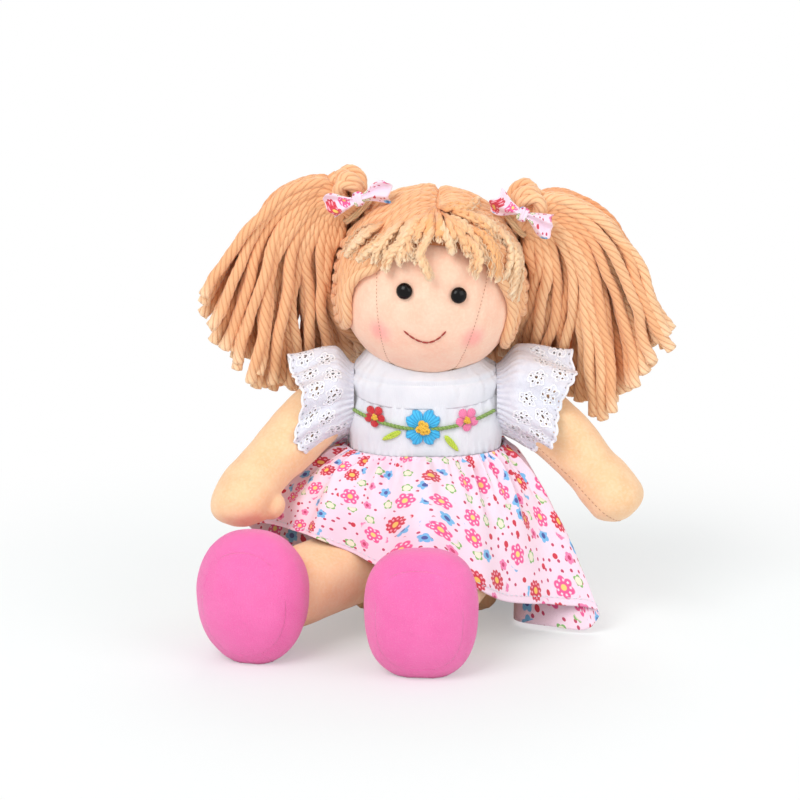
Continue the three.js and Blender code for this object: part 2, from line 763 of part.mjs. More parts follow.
function hairlineAngle(turn) {
  const down = (1 - Math.cos(turn * 2 * Math.PI)) / 2;
  const line = new THREE.CatmullRomCurve3([
    new THREE.Vector3(0, hair.browDegrees, 0),
    new THREE.Vector3(hair.templeShare, hair.templeDegrees, 0),
    new THREE.Vector3(hair.jawShare, hair.jawDegrees, 0),
    new THREE.Vector3(1, hair.napeDegrees, 0),
  ]);
  return degrees(line.getPoint(down).y);
}

function buildHair() {
  const at = (lift, ridged) => (turn, along) => {
    const angle = turn * 2 * Math.PI;
    const open = mix(hairlineAngle(turn), degrees(hair.closeDegrees), along);
    const way = new THREE.Vector3(
      Math.sin(open) * Math.sin(angle), -Math.cos(open), Math.sin(open) * Math.cos(angle),
    );
    const side = Math.sign(way.x) || 1;
    const round = tieWay(side);
    const flat = way.clone().addScaledVector(round, -way.dot(round));
    const bearing = Math.atan2(flat.y, flat.dot(new THREE.Vector3(round.z * side, 0, -round.x * side)));
    const strand = Math.abs(Math.sin(bearing * yarn.ridgeCount / 4));
    const thinned = hair.thickness * hair.edgeThinning * (1 - smooth(along, 0, hair.edgeShare));
    const grow = lift + (ridged ? yarn.ridge * (strand - 1) - thinned : 0);
    return new THREE.Vector3(
      way.x * (head.half.x + grow), way.y * (head.half.y + grow), way.z * (head.half.z + grow),
    );
  };
  const shell = sheetSolid(38, 6, at(GAP + hair.thickness, true), at(hair.bed, false), true);
  const plugStart = head.half.y + hair.bed;
  const plugLength = hair.thickness * hair.plugShare;
  const plug = new THREE.CylinderGeometry(hair.thickness, hair.thickness, plugLength, 14);
  plug.translate(0, plugStart + plugLength / 2, 0);
  add('hair_cap', onHead(join(shell, plug)), yarnWool);
}

// Fringe: tapered tufts that fan out from the parting and bend over the brow.
function buildFringe() {
  const tufts = [];
  const grow = GAP + hair.thickness + GAP + fringe.tuft / 2;
  const rootAngle = Math.asin(-fringe.rootY / (head.half.y + grow));
  for (let i = 0; i < fringe.count; i++) {
    const share = i / (fringe.count - 1) - 0.5;
    const heading = degrees(fringe.spreadDegrees) * share;
    const uneven = fringe.unevenShare * Math.cos(i * 2.4);
    const reach = fringe.length * (1 - fringe.sideShare * Math.abs(share) + uneven);
    const route = [0, 0.3, 0.65, 1].map((part) => {
      const forward = rootAngle + (part * reach * Math.cos(heading)) / (head.half.y + grow);
      const sideways = (part * reach * Math.sin(heading) + fringe.rootX) / (head.half.x + grow);
      const lie = fringe.lieShare * (Math.cos(heading) * part) ** 2;
      const raise = grow + fringe.lift * Math.sin(Math.PI * Math.min(part, 0.8)) - hair.thickness * lie;
      return new THREE.Vector3(
        Math.sin(sideways) * (head.half.x + raise),
        -Math.sin(forward) * Math.cos(sideways) * (head.half.y + raise),
        Math.cos(forward) * Math.cos(sideways) * (head.half.z + raise),
      );
    });
    const radius = fringe.tuft / 2;
    const radiusAt = (along) => radius * (1 - fringe.taper * along ** 2) * roundEnd(along, reach, radius);
    tufts.push(limb(new THREE.CatmullRomCurve3(route), 5, 6, radiusAt));
  }
  add('fringe', onHead(filled(join(...tufts))), yarnWool);
}

// One bunch: a fan of yarns that rises from the tie, turns over and hangs, ridged yarn by yarn.
function bunchFan(side) {
  const tie = tieWay(side).multiplyScalar(bunch.tieRadius + bunch.neckLength / 2);
  const at = (facing) => (across, along) => {
    const ridge = Math.abs(Math.sin(across * Math.PI * bunch.strandCount));
    const reach = across < bunch.lowShare
      ? mix(bunch.outerReach, bunch.lowReach, across / bunch.lowShare)
      : mix(bunch.lowReach, bunch.innerReach, smooth(across, bunch.lowShare, bunch.innerShare));
    const end = reach - bunch.notch * (1 - ridge);
    const length = mix(bunch.neckRadius / 2, mix(reach, end, along ** 4), along);
    const bend = mix(bunch.outerBendDegrees, bunch.innerBendDegrees, across) * (1 - along) ** 1.4;
    const turn = degrees(mix(bunch.outerDegrees, bunch.innerDegrees, across) - bend);
    const middle = mix(bunch.neckRadius, bunch.halfThickness, smooth(along, 0, 0.35));
    const half = mix(middle, bunch.endThickness, smooth(along, 0.5, 1));
    const rim = Math.max(1 - Math.abs(2 * across - 1) ** 6, 0.25);
    const yarns = half * Math.sqrt(rim) * mix(1, 0.62, across ** 2) - (bunch.strand / 4) * (1 - ridge);
    const back = bunch.back + bunch.innerBack * across ** 3 * along;
    return new THREE.Vector3(
      tie.x + side * length * Math.cos(turn),
      back + facing * yarns,
      tie.z - length * Math.sin(turn),
    );
  };
  return sheetSolid(3 * bunch.strandCount, 6, at(-1), at(1), false);
}

function buildBunch(side) {
  const name = side < 0 ? 'right' : 'left';
  const way = tieWay(side);
  const turn = new THREE.Quaternion().setFromUnitVectors(new THREE.Vector3(0, 0, 1), way);
  const alongTie = (geometry, from) => {
    const place = way.clone().multiplyScalar(from);
    return geometry.applyQuaternion(turn).translate(place.x, place.y, place.z);
  };
  const root = head.half.x + GAP + hair.thickness + 2 * GAP;
  const neckTop = bunch.tieRadius + bunch.neckLength / 2;
  const reach = neckTop - root;
  const neckRadius = bunch.neckRadius;
  const neck = alongTie(turned([[0, 0], [neckRadius, 0], [neckRadius, reach], [0, reach]]), root);
  const crownBall = new THREE.SphereGeometry(neckRadius + bunch.strand / 2, 12, 8);
  const crown = alongTie(crownBall, neckTop + bunch.strand);
  const strands = [neck, crown, bunchFan(side)];
  const radius = bunch.strand / 2;
  for (let i = 0; i < bunch.loopCount; i++) {
    const lean = (i / (bunch.loopCount - 1) - 0.5) * bunch.loopWidth;
    const top = neckTop + bunch.loopRise;
    const loop = new THREE.CatmullRomCurve3([
      new THREE.Vector3(-bunch.neckRadius * 0.5, lean * 0.4, neckTop),
      new THREE.Vector3(-bunch.loopWidth * 0.45, lean, mix(neckTop, top, 0.6)),
      new THREE.Vector3(0, lean * 1.2, top),
      new THREE.Vector3(bunch.loopWidth * 0.45, lean, mix(neckTop, top, 0.6)),
      new THREE.Vector3(bunch.neckRadius * 0.5, lean * 0.4, neckTop),
    ]);
    strands.push(limb(loop, 5, 6, () => radius).applyQuaternion(turn));
  }
  const cap = ballForm(GAP + hair.thickness + 2 * GAP, 24, 16);
  add(`${name}_bunch`, onHead(filled(cut(join(...strands), cap))), yarnWool);

  const inner = bunch.neckRadius + GAP;
  const outer = inner + band.thickness;
  const ring = turned([[inner, 0], [outer, 0], [outer, band.width], [inner, band.width], [inner, 0]]);
  add(`${name}_hair_band`, onHead(alongTie(ring, root + GAP)), elastic);
  buildBow(side, name, root + GAP);
}

// Bow in front of the tie: two puffed lobes of doubled cloth with a round knot before them.
function buildBow(side, name, from) {
  const way = tieWay(side);
  const half = bow.halfWidth;
  const at = (turn, along) => {
    const across = mix(-1, 1, along);
    const pinch = mix(bow.waistShare, 1, smooth(Math.abs(across), 0.05, 0.6));
    const closeEnd = Math.sqrt(Math.max(1 - Math.abs(across) ** 6, 0.01));
    const angle = turn * 2 * Math.PI;
    return new THREE.Vector3(
      across * half,
      (bow.depth / 2) * pinch * closeEnd * Math.sin(angle),
      (bow.height / 2) * pinch * Math.cos(angle) * mix(1, closeEnd, 0.5),
    );
  };
  const lobes = ringSolid(10, 11, at, new THREE.Vector3(-half, 0, 0), new THREE.Vector3(half, 0, 0));
  const lean = side * degrees(bunch.tieAngleDegrees) * bow.leanShare;
  const tilt = new THREE.Quaternion().setFromAxisAngle(new THREE.Vector3(0, 1, 0), lean);
  const front = -(bunch.neckRadius + GAP + band.thickness + GAP + bow.depth / 2);
  const place = way.clone().multiplyScalar(from + bow.stand);
  lobes.applyQuaternion(tilt).translate(place.x, front, place.z);
  add(`${name}_bow`, onHead(lobes), printCotton);
  const knot = new THREE.SphereGeometry(1, 8, 6).scale(bow.knot * 0.8, bow.knot * 0.45, bow.knot);
  const before = front - (bow.depth / 2) * bow.waistShare - bow.knot * 0.45 - GAP;
  knot.applyQuaternion(tilt).translate(place.x, before, place.z);
  add(`${name}_bow_knot`, onHead(knot), printCotton);
}

function armLine(side) {
  const start = shoulderPoint(side);
  const route = side < 0 ? armRouteShares.right : armRouteShares.left;
  const points = route.map((share) => new THREE.Vector3(...share).multiplyScalar(arm.length));
  return new THREE.CatmullRomCurve3(points.map((point) => point.add(start)));
}

function armForm(side, grow) {
  const curve = armLine(side);
  const length = curve.getLength();
  const sizes = new THREE.SplineCurve([
    new THREE.Vector2(0, arm.root), new THREE.Vector2(0.3, arm.upper), new THREE.Vector2(0.62, arm.wrist),
    new THREE.Vector2(0.85, arm.palm), new THREE.Vector2(1, arm.palm),
  ]);
  const radiusAt = (along) => grow + sizes.getPoint(along).y * roundEnd(along, length, arm.tipRound);
  const flatten = (along) => mix(1, 0.86, smooth(along, 0.5, 0.9));
  return limb(curve, 14, 12, radiusAt, flatten);
}

function buildArm(side) {
  const name = side < 0 ? 'right' : 'left';
  const start = shoulderPoint(side);
  const curve = armLine(side);
  const body = armForm(side, 0);
  const palm = curve.getPointAt(0.78);
  const thumbWay = new THREE.Vector3(...thumbWayShares[name]).normalize();
  const thumbTip = palm.clone().addScaledVector(thumbWay, arm.palm / 2 + arm.thumbLength);
  const thumbLine = new THREE.LineCurve3(palm, thumbTip);
  const thumbLength = thumbLine.getLength();
  const thumb = limb(thumbLine, 10, 6, (along) => arm.thumb * roundEnd(along, thumbLength, arm.thumb));
  const far = torso.top.z;
  const innerFace = side < 0
    ? block(new THREE.Vector3(start.x, -far, 0), new THREE.Vector3(far, far, 2 * far))
    : block(new THREE.Vector3(-far, -far, 0), new THREE.Vector3(start.x, far, 2 * far));
  add(`${name}_arm`, cut(join(body, thumb), innerFace), skin);
}

// Lace frill round the top of the arm: long over the shoulder, short under the arm. Its rings follow
// the arm in front and below, and stand out over it at the top.
function buildFrill(side) {
  const name = side < 0 ? 'right' : 'left';
  const start = shoulderPoint(side);
  const line = armLine(side);
  const at = (out) => (turn, along) => {
    const angle = turn * 2 * Math.PI;
    const up = Math.cos(angle);
    const front = Math.sin(angle);
    const reach = mix(frill.frontReach, up > 0 ? frill.topReach : frill.underReach, Math.abs(up));
    const follow = mix(front < 0 ? frill.backShare : 1, up > 0 ? frill.topShare : 1, Math.abs(up));
    const centre = line.getPointAt(along * reach / line.getLength()).sub(start).multiplyScalar(follow);
    const under = smooth(-up, 0, 1);
    const wave = frill.wave * Math.cos(angle * frill.waveCount) * along * (1 - under);
    const radius = frill.seat + GAP + mix(frill.flare, frill.underFlare, under) * along + wave + out;
    return new THREE.Vector3(
      start.x + side * mix(reach * along, Math.abs(centre.x), 0.5 * follow),
      start.y + centre.y - radius * front,
      start.z + centre.z + radius * up,
    );
  };
  const lace = sheetSolid(32, 3, at(frill.cloth), at(0), true);
  add(`${name}_sleeve_frill`, cut(lace, armForm(side, GAP)), whiteCotton);
}

// Boot form along its own axis: a round cuff that swells to the oval sole; along is 1 at the sole's seam.
function bootForm(grow) {
  return (turn, along) => {
    const angle = turn * 2 * Math.PI;
    const up = Math.cos(angle);
    const open = Math.sin(Math.min(along / boot.fullShare, 1) * Math.PI / 2);
    const draw = boot.seamIn * smooth(along, boot.seamShare, 1);
    const narrow = up > 0 ? mix(1, boot.topShare, open * up) : 1;
    const halfWidth = mix(boot.cuff, boot.halfWidth, open) - draw + grow;
    const halfHeight = mix(boot.cuff, boot.halfHeight, open) - draw + grow;
    const drop = mix(boot.cuff - boot.halfHeight, 0, open) / 2;
    const back = along === 0 ? grow : -along * boot.depth - (along === 1 ? grow : 0);
    return new THREE.Vector3(halfWidth * narrow * Math.sin(angle), back, halfHeight * up + drop);
  };
}

function buildLeg(side) {
  const name = side < 0 ? 'right' : 'left';
  const { plan, restWay } = legWay(side);
  const centre = hipPoint(side);
  const ankle = plan.ankle;
  const turn = degrees(plan.bootTurnDegrees);
  const place = (geometry) => geometry.rotateZ(turn).translate(ankle.x, ankle.y, boot.halfHeight);
  const shift = (geometry) => geometry.translate(0, boot.depth / 2, 0);

  const cuffEnd = new THREE.Vector3(0, 0, (boot.cuff - boot.halfHeight) / 2);
  const seamEnd = new THREE.Vector3(0, -boot.depth, 0);
  const upper = bootForm(0);
  const bootBody = place(shift(ringSolid(20, 8, upper, cuffEnd, seamEnd)));
  const cuffOut = cuffEnd.clone().setY(GAP);
  const seamOut = seamEnd.clone().setY(-boot.depth - GAP);
  const bulged = place(shift(ringSolid(20, 8, bootForm(GAP), cuffOut, seamOut)));

  // The sole is a padded oval against the flat front of the boot.
  const soleAt = (turnShare, along) => {
    const rim = upper(turnShare, 1);
    const edge = boot.soleEdgeShare;
    const round = (Math.max(along - edge, 0) / (1 - edge)) * boot.soleRound;
    const out = boot.soleThickness * (along < edge ? along : mix(edge, 1, Math.sin(round)));
    return new THREE.Vector3(rim.x * Math.cos(round), -boot.depth - GAP - out, rim.z * Math.cos(round));
  };
  const sole = place(shift(ringSolid(
    20, 4, soleAt,
    new THREE.Vector3(0, -boot.depth - GAP, 0),
    new THREE.Vector3(0, -boot.depth - GAP - boot.soleThickness, 0),
  )));
  const floor = block(
    new THREE.Vector3(-4 * boot.depth, -4 * boot.depth, -boot.depth),
    new THREE.Vector3(4 * boot.depth, 4 * boot.depth, 0),
  );
  const sink = -boot.heelFlat;
  add(`${name}_boot`, cut(moved(bootBody, 0, 0, sink), floor), felt);
  add(`${name}_sole`, cut(moved(sole, 0, 0, sink), floor), felt);

  const line = new THREE.LineCurve3(centre, ankle.clone().addScaledVector(restWay, boot.depth / 4));
  const swell = leg.radius - leg.hipRadius;
  const radiusAt = (along) =>
    mix(leg.hipRadius, leg.ankle, smooth(along, 0.5, 1)) + swell * Math.sin(Math.PI * along);
  const thigh = limb(line, 16, 4, radiusAt);
  const knuckle = moved(new THREE.SphereGeometry(leg.hipRadius, 14, 8), centre.x, centre.y, centre.z);
  add(`${name}_leg`, cut(join(thigh, knuckle), moved(bulged, 0, 0, sink)), skin);
}

buildTorso();
buildBodice();
buildClosure();
buildCollar();
buildSkirt();
buildStem();
buildFlowers();
buildHead();
buildEyes();
buildMouth();
buildHair();
buildFringe();
for (const side of [-1, 1]) {
  buildBunch(side);
  buildArm(side);
  buildFrill(side);
  buildLeg(side);
}

export default doll;
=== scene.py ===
"""Sitting rag doll with yarn bunches: cloth, lace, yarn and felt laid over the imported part."""

import math
from contextlib import contextmanager

import bmesh
import bpy
import numpy as np
from mathutils import Matrix, Vector, noise
from mathutils.bvhtree import BVHTree


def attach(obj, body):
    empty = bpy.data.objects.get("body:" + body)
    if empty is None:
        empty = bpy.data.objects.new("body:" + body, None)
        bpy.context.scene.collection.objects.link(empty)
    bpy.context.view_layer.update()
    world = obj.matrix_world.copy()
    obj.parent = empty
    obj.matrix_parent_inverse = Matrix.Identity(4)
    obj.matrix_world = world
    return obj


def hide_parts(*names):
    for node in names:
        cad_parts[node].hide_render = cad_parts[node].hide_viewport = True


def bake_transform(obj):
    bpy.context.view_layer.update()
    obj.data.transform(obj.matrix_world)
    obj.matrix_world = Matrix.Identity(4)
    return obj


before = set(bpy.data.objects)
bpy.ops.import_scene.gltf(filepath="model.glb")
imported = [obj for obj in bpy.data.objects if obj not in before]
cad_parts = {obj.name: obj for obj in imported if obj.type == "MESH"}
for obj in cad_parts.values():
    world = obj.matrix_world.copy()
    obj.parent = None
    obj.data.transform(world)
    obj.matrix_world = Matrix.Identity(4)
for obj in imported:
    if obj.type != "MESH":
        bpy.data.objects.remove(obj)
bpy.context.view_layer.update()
bpy.ops.object.select_all(action="DESELECT")

MM = 0.001

# Sizes in millimetres, most of them as in the part's source. Torso rows are half width, half depth and height.
TORSO_ROWS = [(27, 19, 0), (33, 24, 6), (36, 27, 24), (34, 27, 52), (31.5, 25, 78), (33.5, 23.5, 92),
              (31, 20, 103), (24, 13, 110)]
SQUARENESS = 2.6
GAP = 0.3
CLOTH = 1.0
SHEET = 0.7
WAIST_HEIGHT = 79
SHOULDER = np.array([32.3, -1.0, 98.5])
CLOSING = {"half": 4, "top": 99.5, "lift": 3.8}

HEAD_CENTRE = np.array([2.0, 0.0, 148.0])
HEAD_HALF = np.array([38.0, 36.0, 39.0])
HEAD_ROLL = math.radians(4.5)
HAIR_THICKNESS = 5.0
EYE = {"x": 11.4, "z": 4.0, "dome": 3.5, "bulge": 2.6}

TIE_ANGLE = math.radians(46.8)
TIE_RADIUS = 46.6
NECK_RADIUS = 7.0
NECK_LENGTH = 9.0
YARN = 2.35
HAIR_REACH = 41
TIE_CLEARANCE = 4.2

ARM_LENGTH = 75
ARM_SHARES = {
    "right": [(0, 0, 0), (-0.133, -0.027, -0.04), (-0.347, -0.2, -0.213), (-0.547, -0.36, -0.4),
              (-0.64, -0.453, -0.547), (-0.66, -0.487, -0.627)],
    "left": [(0, 0, 0), (0.133, -0.013, -0.04), (0.36, -0.093, -0.2), (0.56, -0.173, -0.413),
             (0.687, -0.227, -0.56), (0.74, -0.253, -0.64)],
}
THUMB_WAYS = {"right": (0.75, -0.35, -0.55), "left": (-0.45, 0.8, -0.2)}

LEG = {"hip": 16.2, "ankle": 15.5}
HIP = np.array([19.0, -15.0, 32.0])
ANKLES = {"right": np.array([-71.5, -56.0, 23.0]), "left": np.array([-1.5, -74.0, 24.5])}
BOOT = {"half_width": 23.0, "half_height": 28.4, "depth": 38.0, "cuff": 17.4, "sole": 4.5, "sink": 0.5}
BOOT_TURNS = {"right": math.radians(-14), "left": math.radians(-5)}

# Turn from one to the next of a bundle's strands or a centre's knots, which fills a round evenly
SPIRAL = 2.4

SKIRT_LENGTH = 80
HEM_GIRTH = 430.0
HEM_SHARES = [
    (0.025, -0.762, 0.575), (0.278, -0.75, 0.38), (0.40, -0.56, 0.245), (0.535, -0.46, 0.195),
    (0.713, -0.39, 0.185), (0.872, -0.345, 0.135), (0.906, -0.338, 0.06), (0.862, -0.35, 0.018),
    (0.675, -0.30, 0.018), (0.488, -0.19, 0.018), (0.549, 0.08, 0.02), (0.662, 0.3, 0.02),
    (0.537, 0.537, 0.02), (0.225, 0.713, 0.02), (-0.15, 0.713, 0.02), (-0.475, 0.575, 0.062),
    (-0.725, 0.338, 0.225), (-0.887, 0.062, 0.412), (-0.912, -0.113, 0.525), (-0.825, -0.237, 0.581),
    (-0.713, -0.388, 0.594), (-0.575, -0.463, 0.569), (-0.40, -0.525, 0.512), (-0.213, -0.638, 0.463),
]


# Curves and shares
def mix(a, b, share):
    return a + (b - a) * share


def smooth(value, low, high):
    share = np.clip((value - low) / (high - low), 0, 1)
    return share * share * (3 - 2 * share)


def spline(points, shares, closed=False):
    """Centripetal curve through the points, at shares of the way counted in points."""
    points = np.asarray(points, float)
    count = len(points)
    place = np.atleast_1d(np.asarray(shares, float)) * (count if closed else count - 1)
    first = np.floor(place).astype(int)
    if closed:
        part = (place - first)[:, None]
        p0, p1, p2, p3 = (points[(first + k) % count] for k in (-1, 0, 1, 2))
    else:
        first = np.clip(first, 0, count - 2)
        part = (place - first)[:, None]
        longer = np.vstack([2 * points[0] - points[1], points, 2 * points[-1] - points[-2]])
        p0, p1, p2, p3 = (longer[first + k] for k in (0, 1, 2, 3))
    d0, d1, d2 = (np.sqrt(np.linalg.norm(b - a, axis=1))[:, None] + 1e-6
                  for a, b in ((p0, p1), (p1, p2), (p2, p3)))
    m1 = ((p1 - p0) / d0 - (p2 - p0) / (d0 + d1) + (p2 - p1) / d1) * d1
    m2 = ((p2 - p1) / d1 - (p3 - p1) / (d1 + d2) + (p3 - p2) / d2) * d1
    return ((2 * part**3 - 3 * part**2 + 1) * p1 + (part**3 - 2 * part**2 + part) * m1
            + (3 * part**2 - 2 * part**3) * p2 + (part**3 - part**2) * m2)


def lengths(line):
    return np.concatenate([[0], np.cumsum(np.linalg.norm(np.diff(line, axis=0), axis=1))])


def evened(line, step):
    """The same line with points about one step apart."""
    run = lengths(line)
    count = max(int(round(run[-1] / step)), 3)
    at = np.linspace(0, run[-1], count + 1)
    return np.stack([np.interp(at, run, line[:, k]) for k in range(3)], axis=1)


def along_route(points, step):
    return evened(spline(points, np.linspace(0, 1, 24 * len(points))), step)


def unit(vectors):
    return vectors / (np.linalg.norm(vectors, axis=-1, keepdims=True) + 1e-12)


def on_head(points):
    """From the upright head's own places to where the leaning head holds them."""
    points = np.asarray(points, float)
    c, s = math.cos(HEAD_ROLL), math.sin(HEAD_ROLL)
    turn = np.array([[c, 0, s], [0, 1, 0], [-s, 0, c]])
    return points @ turn.T + HEAD_CENTRE


def rounded(half_width, half_depth, turn):
    angle = turn * 2 * math.pi
    c, s = np.cos(angle), np.sin(angle)
    power = 2 / SQUARENESS
    return np.sign(s) * half_width * np.abs(s)**power, -np.sign(c) * half_depth * np.abs(c)**power


def torso_skin(turn, along, grow):
    """Point of the stuffed torso's form, grown all round, for shares of a turn and of its rows."""
    turn, along = np.broadcast_arrays(np.asarray(turn, float), np.asarray(along, float))
    rows = spline(TORSO_ROWS, along.ravel()).reshape(along.shape + (3,))
    x, y = rounded(rows[..., 0] + grow, rows[..., 1] + grow, turn)
    return np.stack([x, y, rows[..., 2] + grow * smooth(along, 0.8, 1)], axis=-1)


def front_of_torso(x, z, grow):
    """How far forward the dressed torso reaches at a place on its front."""
    shares = np.linspace(0, 1, 400)
    rows = spline(TORSO_ROWS, shares)
    half_x = np.interp(z, rows[:, 2], rows[:, 0]) + grow
    half_y = np.interp(z, rows[:, 2], rows[:, 1]) + grow
    share = np.minimum(np.abs(x) / half_x, 1)
    return -half_y * (1 - share**SQUARENESS)**(1 / SQUARENESS)


def lumps(points, size, seed=0.0):
    """Soft noise between about -1 and 1 at each point, with lumps of one size."""
    return np.array([noise.noise(Vector(p) / size + Vector((seed, 2 * seed, 0))) for p in points.reshape(-1, 3)]
                    ).reshape(points.shape[:-1])


# Making meshes
def new_mesh(name, points, faces, uvs=None):
    mesh = bpy.data.meshes.new(name)
    mesh.from_pydata((np.asarray(points) * MM).tolist(), [], [list(map(int, face)) for face in faces])
    if uvs is not None:
        layer = mesh.uv_layers.new(name="cloth")
        layer.data.foreach_set("uv", np.concatenate([np.asarray(corner).ravel() for corner in uvs]) * MM)
    mesh.validate()
    mesh.update()
    made = bpy.data.objects.new(name, mesh)
    bpy.context.scene.collection.objects.link(made)
    return smooth_shaded(made)


def smooth_shaded(made):
    made.data.polygons.foreach_set("use_smooth", [True] * len(made.data.polygons))
    return made


@contextmanager
def edited(made):
    """A piece's mesh, open for changes that are kept at the end."""
    work = bmesh.new()
    work.from_mesh(made.data)
    yield work
    work.to_mesh(made.data)
    work.free()
    made.data.update()


def sheet_of(name, grid, closed=False, uv=None):
    """A surface through a grid of points, columns first; uv gives each column and row its cloth place."""
    columns, rows = grid.shape[:2]
    points = grid.reshape(-1, 3)
    across = columns if closed else columns - 1
    i, j = np.meshgrid(np.arange(across), np.arange(rows - 1), indexing="ij")
    nxt = (i + 1) % columns
    faces = np.stack([i * rows + j, nxt * rows + j, nxt * rows + j + 1, i * rows + j + 1], axis=-1).reshape(-1, 4)
    corners = None
    if uv is not None:
        u, v = uv
        if u.ndim == 1:
            u = np.repeat(u[:, None], rows, axis=1)
        if v.ndim == 1:
            v = np.repeat(v[None, :], u.shape[0], axis=0)
        place = np.stack([u, v], axis=-1)
        corners = np.stack([place[i, j], place[i + 1, j], place[i + 1, j + 1], place[i, j + 1]], axis=2)
        corners = [corners.reshape(-1, 2)]
    return new_mesh(name, points, faces, corners)


def rings_of(name, grid):
    """A closed skin: rings of points, each ring one row of the grid, with its two ends filled."""
    rings, steps = grid.shape[:2]
    points = [tuple(p) for p in grid.reshape(-1, 3)]
    faces = []
    for j in range(rings - 1):
        for i in range(steps):
            k = (i + 1) % steps
            faces.append((j * steps + i, j * steps + k, (j + 1) * steps + k, (j + 1) * steps + i))
    for row in (0, rings - 1):
        points.append(tuple(grid[row].mean(axis=0)))
        for i in range(steps):
            k = (i + 1) % steps
            ring = (row * steps + k, row * steps + i) if row == 0 else (row * steps + i, row * steps + k)
            faces.append((len(points) - 1, *ring))
    made = new_mesh(name, points, faces)
    face_out(made)
    return made


def face_out(made):
    with edited(made) as work:
        bmesh.ops.remove_doubles(work, verts=work.verts, dist=1e-6)
        bmesh.ops.recalc_face_normals(work, faces=work.faces)


def face_away(made, away):
    """Turns an open sheet's faces to the side that away points to from a face's middle."""
    with edited(made) as work:
        bmesh.ops.recalc_face_normals(work, faces=work.faces)
        if sum(face.normal.dot(away(face.calc_center_median())) for face in work.faces) < 0:
            bmesh.ops.reverse_faces(work, faces=work.faces)


def from_upright(middle):
    """Way from the upright line through the doll's middle."""
    return Vector((middle.x, middle.y, 0)).normalized()


def filled(made):
    """Closes a piece's open rims, and faces it outwards."""
    with edited(made) as work:
        bmesh.ops.holes_fill(work, edges=[edge for edge in work.edges if edge.is_boundary], sides=0)
        bmesh.ops.recalc_face_normals(work, faces=work.faces)
    return smooth_shaded(made)


def pick(made):
    bpy.ops.object.select_all(action="DESELECT")
    made.select_set(True)
    bpy.context.view_layer.objects.active = made


def apply_modifier(made, kind, **settings):
    pick(made)
    modifier = made.modifiers.new(kind.lower(), kind)
    for key, value in settings.items():
        setattr(modifier, key, value)
    bpy.ops.object.modifier_apply(modifier=modifier.name)
    made.select_set(False)


def joined(name, pieces):
    bpy.ops.object.select_all(action="DESELECT")
    for piece in pieces:
        piece.select_set(True)
    bpy.context.view_layer.objects.active = pieces[0]
    if len(pieces) > 1:
        bpy.ops.object.join()
    made = bpy.context.view_layer.objects.active
    made.name = name
    made.data.name = name
    made.select_set(False)
    return made


def settled(made):
    """Places an object's own turn and size into its mesh."""
    pick(made)
    bpy.ops.object.transform_apply(location=True, rotation=True, scale=True)
    made.select_set(False)


def ball_of(segments, rings, radius=1.0, location=(0, 0, 0)):
    bpy.ops.mesh.primitive_uv_sphere_add(segments=segments, ring_count=rings, radius=radius, location=location)
    return bpy.context.active_object


def rod_of(sides, radius, depth, location, rotation=(0, 0, 0)):
    bpy.ops.mesh.primitive_cylinder_add(vertices=sides, radius=radius, depth=depth, location=location,
                                        rotation=rotation)
    return bpy.context.active_object


def side_frames(line):
    """Ways along, beside and across a line of points, without a twist."""
    way = unit(np.gradient(line, axis=0))
    start = np.cross(way[0], (0, 0, 1)) if abs(way[0][2]) < 0.9 else np.cross(way[0], (1, 0, 0))
    beside = [unit(start)]
    for k in range(1, len(line)):
        kept = beside[-1] - way[k] * np.dot(beside[-1], way[k])
        beside.append(unit(kept))
    beside = np.array(beside)
    return way, beside, np.cross(way, beside)


